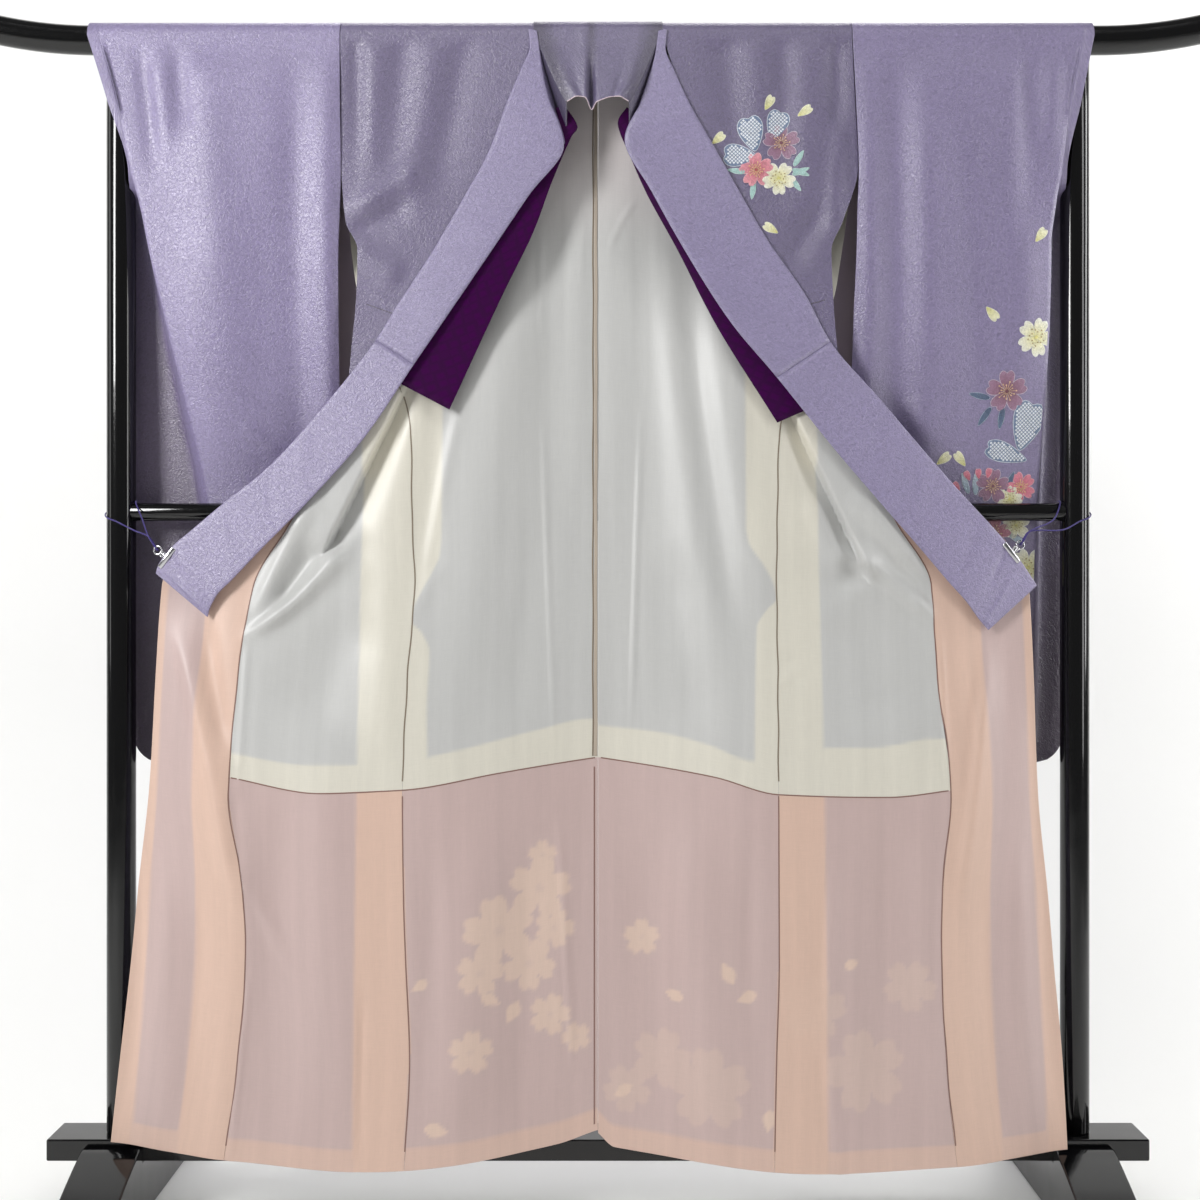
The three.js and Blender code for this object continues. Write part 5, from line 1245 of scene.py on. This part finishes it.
for x, z, turn in ((602, 1343, 52), (536, 1254, -48), (514, 1038, 128), (474, 1040, 38)):
    inked(sleeve_paint, petal_outline((x, z), 24, turn, 0.34, 0.14), "yellow", 0)


def on_shoulder(flat):
    """Holds points outside the collar."""
    collar = between(SHOULDER["r"], "collar", flat[:, 1]) + 3
    return np.stack([np.maximum(flat[:, 0], collar), flat[:, 1]], -1)


def on_sleeve(flat):
    """Holds points on the part in front of the post."""
    fold = between(SLEEVE["r"], "fold", flat[:, 1]) - 2
    return np.stack([np.minimum(flat[:, 0], fold), flat[:, 1]], -1)


paint_mesh("paint_shoulder", shoulder_paint, lambda x, z: shoulder_depth("r", x, z), on_shoulder,
           "shoulder_outer_r")
paint_mesh("paint_sleeve", sleeve_paint, lambda x, z: sleeve_depth("r", x, z, "front"), on_sleeve,
           "sleeve_outer_r")


# Collars. The collar is a folded strip of crepe sewn to the edge of the fronts, with a cover
# strip over its upper part. The accent collar inside it is a folded strip of purple damask silk.
COLLAR_COLUMNS = "row seam seam_z seam_y free free_z free_y"
COLLAR = {
    "l": table(COLLAR_COLUMNS, [
        (-1, 95, 1640, -25, 86, 1638, -25), (0, 93, 1616, -27, 82, 1613, -27),
        (1, 106, 1581, -29, 76, 1575, -30), (2, 123, 1540, -32, 68, 1540, -34),
        (3, 150, 1466, -36, 48, 1475, -42), (4, 182, 1406, -39, 96, 1405, -47),
        (5, 227, 1327, -43, 149, 1325, -52), (6, 274, 1253, -47, 212, 1231, -58),
        (7, 303, 1205, -50, 252, 1172, -60),
        (8, 366, 1124, -51, 319, 1072, -63), (9, 452, 1029, -52, 400, 980, -65),
        (10, 512, 981, -52, 460, 919, -66), (11, 556, 944, -51, 499, 878, -66),
        (12, 582, 922, -50, 519, 858, -65), (13, 602, 896, -48, 530, 838, -62),
        (14, 605, 886, -47, 533, 828, -60)]),
    "r": table(COLLAR_COLUMNS, [
        (-1, 94, 1640, -25, 85, 1638, -25), (0, 92, 1614, -27, 81, 1610, -27),
        (1, 104, 1581, -30, 70, 1569, -30),
        (2, 124, 1537, -33, 58, 1533, -34), (3, 161, 1470, -37, 38, 1482, -42),
        (4, 193, 1412, -40, 75, 1410, -47), (5, 233, 1342, -43, 118, 1332, -52),
        (6, 283, 1268, -47, 182, 1230, -58), (7, 317, 1203, -50, 245, 1154, -61),
        (8, 385, 1124, -51, 325, 1054, -63), (9, 440, 1059, -52, 387, 981, -65),
        (10, 490, 1002, -52, 440, 920, -66), (11, 540, 948, -51, 480, 873, -66),
        (12, 557, 929, -50, 501, 850, -65), (13, 578, 903, -48, 519, 826, -62),
        (14, 601, 869, -46, 533, 810, -60)]),
}
COVER_END, COLLAR_END_ROW = 7, 14
COLLAR_CELL, COLLAR_WIDTH, ACCENT_WIDTH = 5.0, 85, 60
COVER_RISE = 0.5  # of the cover strip above the collar under it
ACCENT_COLUMNS = "row hid hid_z hid_y free free_z free_y"
ACCENT = {
    "l": table(ACCENT_COLUMNS, [
        (0, 58, 1531, -27, 44, 1531, -27), (1, 52, 1500, -31, 29, 1504, -28),
        (2, 70, 1470, -37, 37, 1490, -30), (3, 108, 1416, -42, 65, 1424, -35),
        (4, 145, 1350, -46, 88, 1360, -39), (5, 200, 1262, -51, 133, 1266, -44),
        (6, 282, 1152, -53, 204, 1111, -51)]),
    "r": table(ACCENT_COLUMNS, [
        (0, 56, 1524, -27, 40, 1531, -27), (1, 48, 1498, -31, 28, 1508, -29),
        (2, 72, 1452, -38, 47, 1457, -34), (3, 92, 1410, -43, 66, 1413, -37),
        (4, 135, 1335, -48, 110, 1331, -42), (5, 195, 1246, -53, 160, 1232, -47),
        (6, 290, 1112, -54, 246, 1093, -52)]),
}
COLLAR_HALF, ACCENT_HALF = 1.5, 0.8  # half the thickness of the folded strips
# painted light: the collars' crepe is lighter than the body's lilac
COLLAR_LIT_LILAC = "#887EA3"
# painted shade: the neck flap's crepe is darker than the body's lilac, and NECK_SHADE darker still at
# its sides, crease and folds
NECK_SHADED_LILAC, NECK_SHADE = "#696081", "#463E58"
ACCENT_PURPLE = "#36043C"
# low wrinkles across the collar: row, share of the width, half length in rows, rise
COLLAR_WRINKLES = {
    "l": [(8.6, 0.3, 0.25, 0.9), (9.3, 0.5, 0.3, -0.9), (10.4, 0.4, 0.3, 0.8), (12.4, 0.2, 0.35, -1.4),
          (13.2, 0.6, 0.4, 1.2), (2.4, 0.3, 0.3, 1.2), (4.6, 0.6, 0.35, 0.7), (6.0, 0.3, 0.3, -0.6)],
    "r": [(8.4, 0.5, 0.25, -0.8), (9.4, 0.4, 0.3, 0.9), (10.8, 0.4, 0.3, -0.8), (12.3, 0.2, 0.35, -1.4),
          (13.3, 0.6, 0.4, 1.3), (2.4, 0.4, 0.3, 1.2), (4.4, 0.5, 0.35, 0.7), (5.8, 0.3, 0.3, -0.6)],
}

# damask: a purple silk whose woven figure of small diamonds, 14 mm apart, shows by gloss, with painted
# sheen: the glossier parts are also painted lighter
damask = new_material("purple_damask", Roughness=0.55, Specular_IOR_Level=0.1)
weave = add_node(damask, "ShaderNodeUVMap", {"uv_map": "weave"})
dye = add_node(damask, "ShaderNodeAttribute", {"attribute_name": "dye"})
turned = add_node(damask, "ShaderNodeMapping", Vector=(weave, "UV"), Rotation=(0, 0, math.radians(45)),
                  Scale=(72, 72, 1))
figure = add_node(damask, "ShaderNodeTexVoronoi", {"distance": "CHEBYCHEV"}, Vector=(turned, "Vector"),
                  Scale=1.0, Randomness=0.35)
gloss = add_node(damask, "ShaderNodeMapRange", Value=(figure, "Distance"), From_Min=0.2, From_Max=0.45,
                 To_Min=0.34, To_Max=0.6)
join_shader(damask, gloss, "Result", "Roughness")
# painted sheen: the figure's glossier parts are lighter in colour
painted_figure_sheen = add_node(damask, "ShaderNodeMapRange", Value=(figure, "Distance"), From_Min=0.2, From_Max=0.45,
                 To_Min=1.25, To_Max=0.9)
colour = add_node(damask, "ShaderNodeVectorMath", {"operation": "SCALE"}, Vector=(dye, "Color"),
                  Scale=(painted_figure_sheen, "Result"))
join_shader(damask, colour, "Vector", "Base Color")


def strip_grid(rows, first, second, start, end, cell, width):
    """Grid of a strip between two edges, from one row of its table to another."""
    path = np.stack([between(rows, f"{first}{axis}", np.arange(start, end + 0.1, 0.5), at="row")
                     for axis in ("", "_y", "_z")], -1)
    length = np.linalg.norm(np.diff(path, axis=0), axis=1).sum()
    stations = np.linspace(start, end, 1 + int(length / cell))
    edges = []
    for name in (first, second):
        edges.append(np.stack([between(rows, f"{name}{axis}", stations, at="row")
                               for axis in ("", "_y", "_z")], -1))
    shares = np.linspace(0, 1, int(width / cell) + 1)
    near, far = (edge[:, None] for edge in edges)
    return near * (1 - shares[:, None]) + far * shares[:, None], stations, shares


def folded_strip(name, points, half, dye, material, node, slot, side, swell):
    """A strip folded double: its front, its folded edge and its back in one skin, open only in
    the seam behind."""
    normals = grid_normals(points, (0, -1, 0))
    fold = np.linspace(0, math.pi, 7)[1:-1]
    across = points[:, -1] - points[:, -2]
    across /= np.linalg.norm(across, axis=-1, keepdims=True)
    front = points + normals * (half + swell[..., None])
    turn = [points[:, -1] + half * (normals[:, -1] * math.cos(a) + across * math.sin(a))
            for a in fold]
    seam_turn = [points[:, 0] + half * (-normals[:, 0] * math.cos(a) - across * math.sin(a))
                 for a in fold]
    back = points[:, ::-1] - normals[:, ::-1] * half
    skin = np.concatenate([np.stack(seam_turn, 1), front, np.stack(turn, 1), back], axis=1)
    rows, columns = skin.shape[:2]
    weave = threads_along(skin)
    skin[..., 0] *= SIDES[side]
    faces = grid_faces(rows, columns)
    faces += [list(range(columns))[::-1], list(range((rows - 1) * columns, rows * columns))]
    faces = faces if side == "r" else [face[::-1] for face in faces]
    piece = mesh_piece(name, skin.reshape(-1, 3), faces, material)
    give_dye(piece, dyed(skin.reshape(-1, 3), dye))
    give_weave(piece, weave.reshape(-1, 2) * MM)
    put_in_place(piece, node, slot)
    return piece


for side in SIDES:
    for name, node, start, end, extra, flat in (
            ("cover", "over_collar", -1, COVER_END, COVER_RISE, (0.16, 0.5)),
            ("plain", "collar", COVER_END, COLLAR_END_ROW, 0, (0.16, 0.46))):
        points, stations, shares = strip_grid(COLLAR[side], "seam", "free", start, end,
                                              COLLAR_CELL, COLLAR_WIDTH)
        swell = np.full(points.shape[:2], float(extra))
        for row, share, reach, rise in COLLAR_WRINKLES[side]:
            skew = (shares - share) * 0.5
            swell += rise * np.exp(-(((stations[:, None] - row - skew) / (0.35 * reach)) ** 2)
                                   - ((shares - share) / 0.35) ** 2)
        piece = folded_strip(f"collar_{name}_{side}", points, COLLAR_HALF, COLLAR_LIT_LILAC, crepe,
                             f"{node}_{side}", "crepe_silk", side, swell)
    points, _, _ = strip_grid(ACCENT[side], "hid", "free", 0, 6, COLLAR_CELL, ACCENT_WIDTH)
    piece = folded_strip(f"accent_{side}", points, ACCENT_HALF, ACCENT_PURPLE, damask,
                         f"accent_collar_{side}", "accent_silk", side, np.zeros(points.shape[:2]))


# Back neck. The collar goes on round the neck: unfolded here, it has flopped forward over the
# rail, creased at its middle, and folds back on itself at both sides into the side collars.
FLAP_BOTTOM, FLAP_TOP = 1533, 1638.2
FLAP_LIFT = 2.2  # of the flap above the cloth that it covers on the rail
NECK = table("z half y", [(FLAP_BOTTOM, 43, -48), (1550, 52, -45), (1572, 62, -40), (1597, 72, -33),
                          (1619, 81, -26), (FLAP_TOP, 89.5, -21.9)])
NECK_CREASE = {"x": -9, "width": 5, "depth": 14, "notch": 11}
NECK_BOW = 5
# where the strip turns back between flap and collar
VALLEY = table("t x y z", [(0, 88, -22.6, 1634), (0.3, 78, -21, 1600), (0.6, 66, -19, 1560),
                           (0.85, 54, -18, 1520), (1, 44, -20, 1488)])


def flap_point(share, z):
    """Middle of the flap at a share of its half width and a height."""
    fall = 1 - smooth(FLAP_BOTTOM, 1630, z)
    x = share * between(NECK, "half", z)
    crease = np.exp(-(((x - NECK_CREASE["x"]) / NECK_CREASE["width"]) ** 2)) * fall
    pleats = 2.5 * fall * (np.exp(-(((np.abs(share) - 0.72) / 0.1) ** 2))
                           - np.exp(-(((np.abs(share) - 0.5) / 0.12) ** 2)))
    y = (between(NECK, "y", z) - NECK_BOW * fall * (1 - share ** 2)
         + NECK_CREASE["depth"] * crease - pleats)
    arch = 7 * np.sin(np.pi * np.abs(share) ** 1.2) * (1 - smooth(FLAP_BOTTOM, 1560, z))
    notch = NECK_CREASE["notch"] * crease * (1 - smooth(FLAP_BOTTOM, 1590, z))
    return np.stack([x, y, z - notch + arch], -1)


rows = rows_between(FLAP_BOTTOM, FLAP_TOP, 2.0)[:, None]
shares = np.linspace(-1, 1, 81)
points = flap_point(shares + 0 * rows, rows + 0 * shares)
over = over_rail(points[-1, :, 0], rows_between(NECK_TURN - 45, NECK_TURN, 9)[::-1])
points = np.concatenate([points, over + (0, 0, FLAP_LIFT)])
# painted shade at the flap's sides and along its crease
shaded = smooth(0.55, 0.95, np.abs(points[..., 0]) / between(NECK, "half", points[..., 2]))
shaded = np.maximum(shaded, 0.8 * np.exp(-(((points[..., 0] - NECK_CREASE["x"]) / 7) ** 2)))
grids = [(points, mix(dyed(points, NECK_SHADED_LILAC), dyed(points, NECK_SHADE), shaded))]
for side, sign in SIDES.items():
    t = np.linspace(0, 1, 40)
    flap_edge = flap_point(0 * t + 1, FLAP_TOP + (FLAP_BOTTOM - FLAP_TOP) * t)
    valley = np.stack([between(VALLEY, axis, t, at="t") for axis in "xyz"], -1)
    collar_edge = np.stack([between(COLLAR[side], f"free{axis}", -1 + 4 * t, at="row")
                            for axis in ("", "_y", "_z")], -1)
    across = np.linspace(0, 1, 9)[:, None, None]
    inner = flap_edge + (valley - flap_edge) * np.sin(across * math.pi / 2) ** 1.4
    outer = valley + (collar_edge - valley) * (1 - np.cos(across[1:] * math.pi / 2)) ** 0.7
    fold = np.concatenate([inner, outer]).transpose(1, 0, 2)
    fold[..., 0] *= sign
    reach = np.linspace(0, 1, fold.shape[1]) + 0 * fold[..., 0]
    # painted shade in the valley where the strip turns back, fading toward the collar's lighter lilac
    dye = mix(dyed(fold, NECK_SHADE), dyed(fold, COLLAR_LIT_LILAC), smooth(0.5, 0.95, reach))
    grids.append((fold, dye))
flap = cloth_mesh("neck_flap", grids, None, (0, -1, 0), crepe, "neck_collar", "crepe_silk",
                  face=1.0, thickness=2.0)

# piping: a narrow folded edge of pale pink silk along the flap
PIPING_PINK, PIPING_RADIUS, PIPING_SIDES = "#D9C6CE", 0.7, 8
piping_silk = silk_material("piping_silk", 0.4, 0.2, 0.05)
edge = flap_point(np.linspace(-0.98, 0.98, 120), np.full(120, float(FLAP_BOTTOM))) + (0, -0.6, -0.4)
along = np.gradient(edge, axis=0)
along /= np.linalg.norm(along, axis=1, keepdims=True)
aside = np.cross(along, (0, 1, 0))
aside /= np.linalg.norm(aside, axis=1, keepdims=True)
up = np.cross(aside, along)
turn = np.linspace(0, 2 * math.pi, PIPING_SIDES, endpoint=False)[:, None]
tube = edge[:, None] + PIPING_RADIUS * (aside[:, None] * np.cos(turn) + up[:, None] * np.sin(turn))
tube = tube.reshape(-1, 3)
piping = mesh_piece("neck_piping", tube, grid_faces(len(edge), PIPING_SIDES, ring=True), piping_silk)
give_dye(piping, dyed(tube, PIPING_PINK))
piping.data.uv_layers.new(name="weave")
put_in_place(piping, "neck_collar", "crepe_silk")


# Floor and backdrop: one sheet of pale paper, curved up behind the stand. It is clear from
# behind, so that the back of the kimono can be seen too.
SWEEP_HALF, SWEEP_FRONT, SWEEP_BACK, SWEEP_RADIUS, SWEEP_TOP = 5000, -4200, 1100, 700, 4200
PAPER = "#F4F4F2"

paper = new_material("backdrop_paper", Base_Color=linear(PAPER), Roughness=0.9)
place = add_node(paper, "ShaderNodeTexCoord")
fibre = add_node(paper, "ShaderNodeTexNoise", Vector=(place, "Object"), Scale=60.0, Detail=4.0)
fibre_bump = add_node(paper, "ShaderNodeBump", Height=(fibre, "Fac"), Strength=0.05, Distance=0.001)
join_shader(paper, fibre_bump, "Normal", "Normal")
facing = add_node(paper, "ShaderNodeNewGeometry")
solid = add_node(paper, "ShaderNodeMath", {"operation": "SUBTRACT"}, _0=1.0, _1=(facing, "Backfacing"))
join_shader(paper, solid, "Value", "Alpha")
profile = [(SWEEP_FRONT, 0), (0, 0)]
profile += [(SWEEP_BACK - SWEEP_RADIUS + SWEEP_RADIUS * math.sin(a), SWEEP_RADIUS * (1 - math.cos(a)))
            for a in np.linspace(0, math.pi / 2, 17)]
profile += [(SWEEP_BACK, SWEEP_TOP)]
sweep = mesh_piece("backdrop", [(x, y, z) for y, z in profile for x in (-SWEEP_HALF, SWEEP_HALF)],
                   grid_faces(len(profile), 2), paper)
if sweep.data.polygons[0].normal.z < 0:
    sweep.data.flip_normals()


# Light: a softbox high at the left, a weak strip at the right, a broad one above, two strips
# turned to the backdrop, one on the kimono's back, and an even pale room.
SOFTBOXES = [  # place, aim, width and height, power
    ((-2300, -2000, 2100), (0, 0, 900), (700, 1300), 70),
    ((2500, -1400, 1500), (0, 0, 900), (500, 2200), 18),
    ((0, -1500, 3400), (0, 0, 900), (2600, 1200), 18),
    ((-2300, -100, 1700), (-1000, 1100, 1000), (500, 2200), 6),
    ((2300, -100, 1700), (1000, 1100, 1000), (500, 2200), 27),
    ((0, 950, 2900), (0, 0, 900), (1800, 400), 14),
]
for number, (spot, aim, (wide, tall), power) in enumerate(SOFTBOXES):
    data = bpy.data.lights.new(f"softbox_{number}", "AREA")
    data.shape = "RECTANGLE"
    data.size, data.size_y = wide * MM, tall * MM
    data.energy = power
    lamp = bpy.data.objects.new(f"softbox_{number}", data)
    lamp.location = Vector(spot) * MM
    lamp.rotation_euler = (Vector(aim) - Vector(spot)).to_track_quat("-Z", "Y").to_euler()
    bpy.context.scene.collection.objects.link(lamp)
ROOM_GLOW = 0.15
world = bpy.data.worlds.new("room")
world.use_nodes = True
world.node_tree.nodes["Background"].inputs["Color"].default_value = (1, 1, 1, 1)
world.node_tree.nodes["Background"].inputs["Strength"].default_value = ROOM_GLOW
bpy.context.scene.world = world
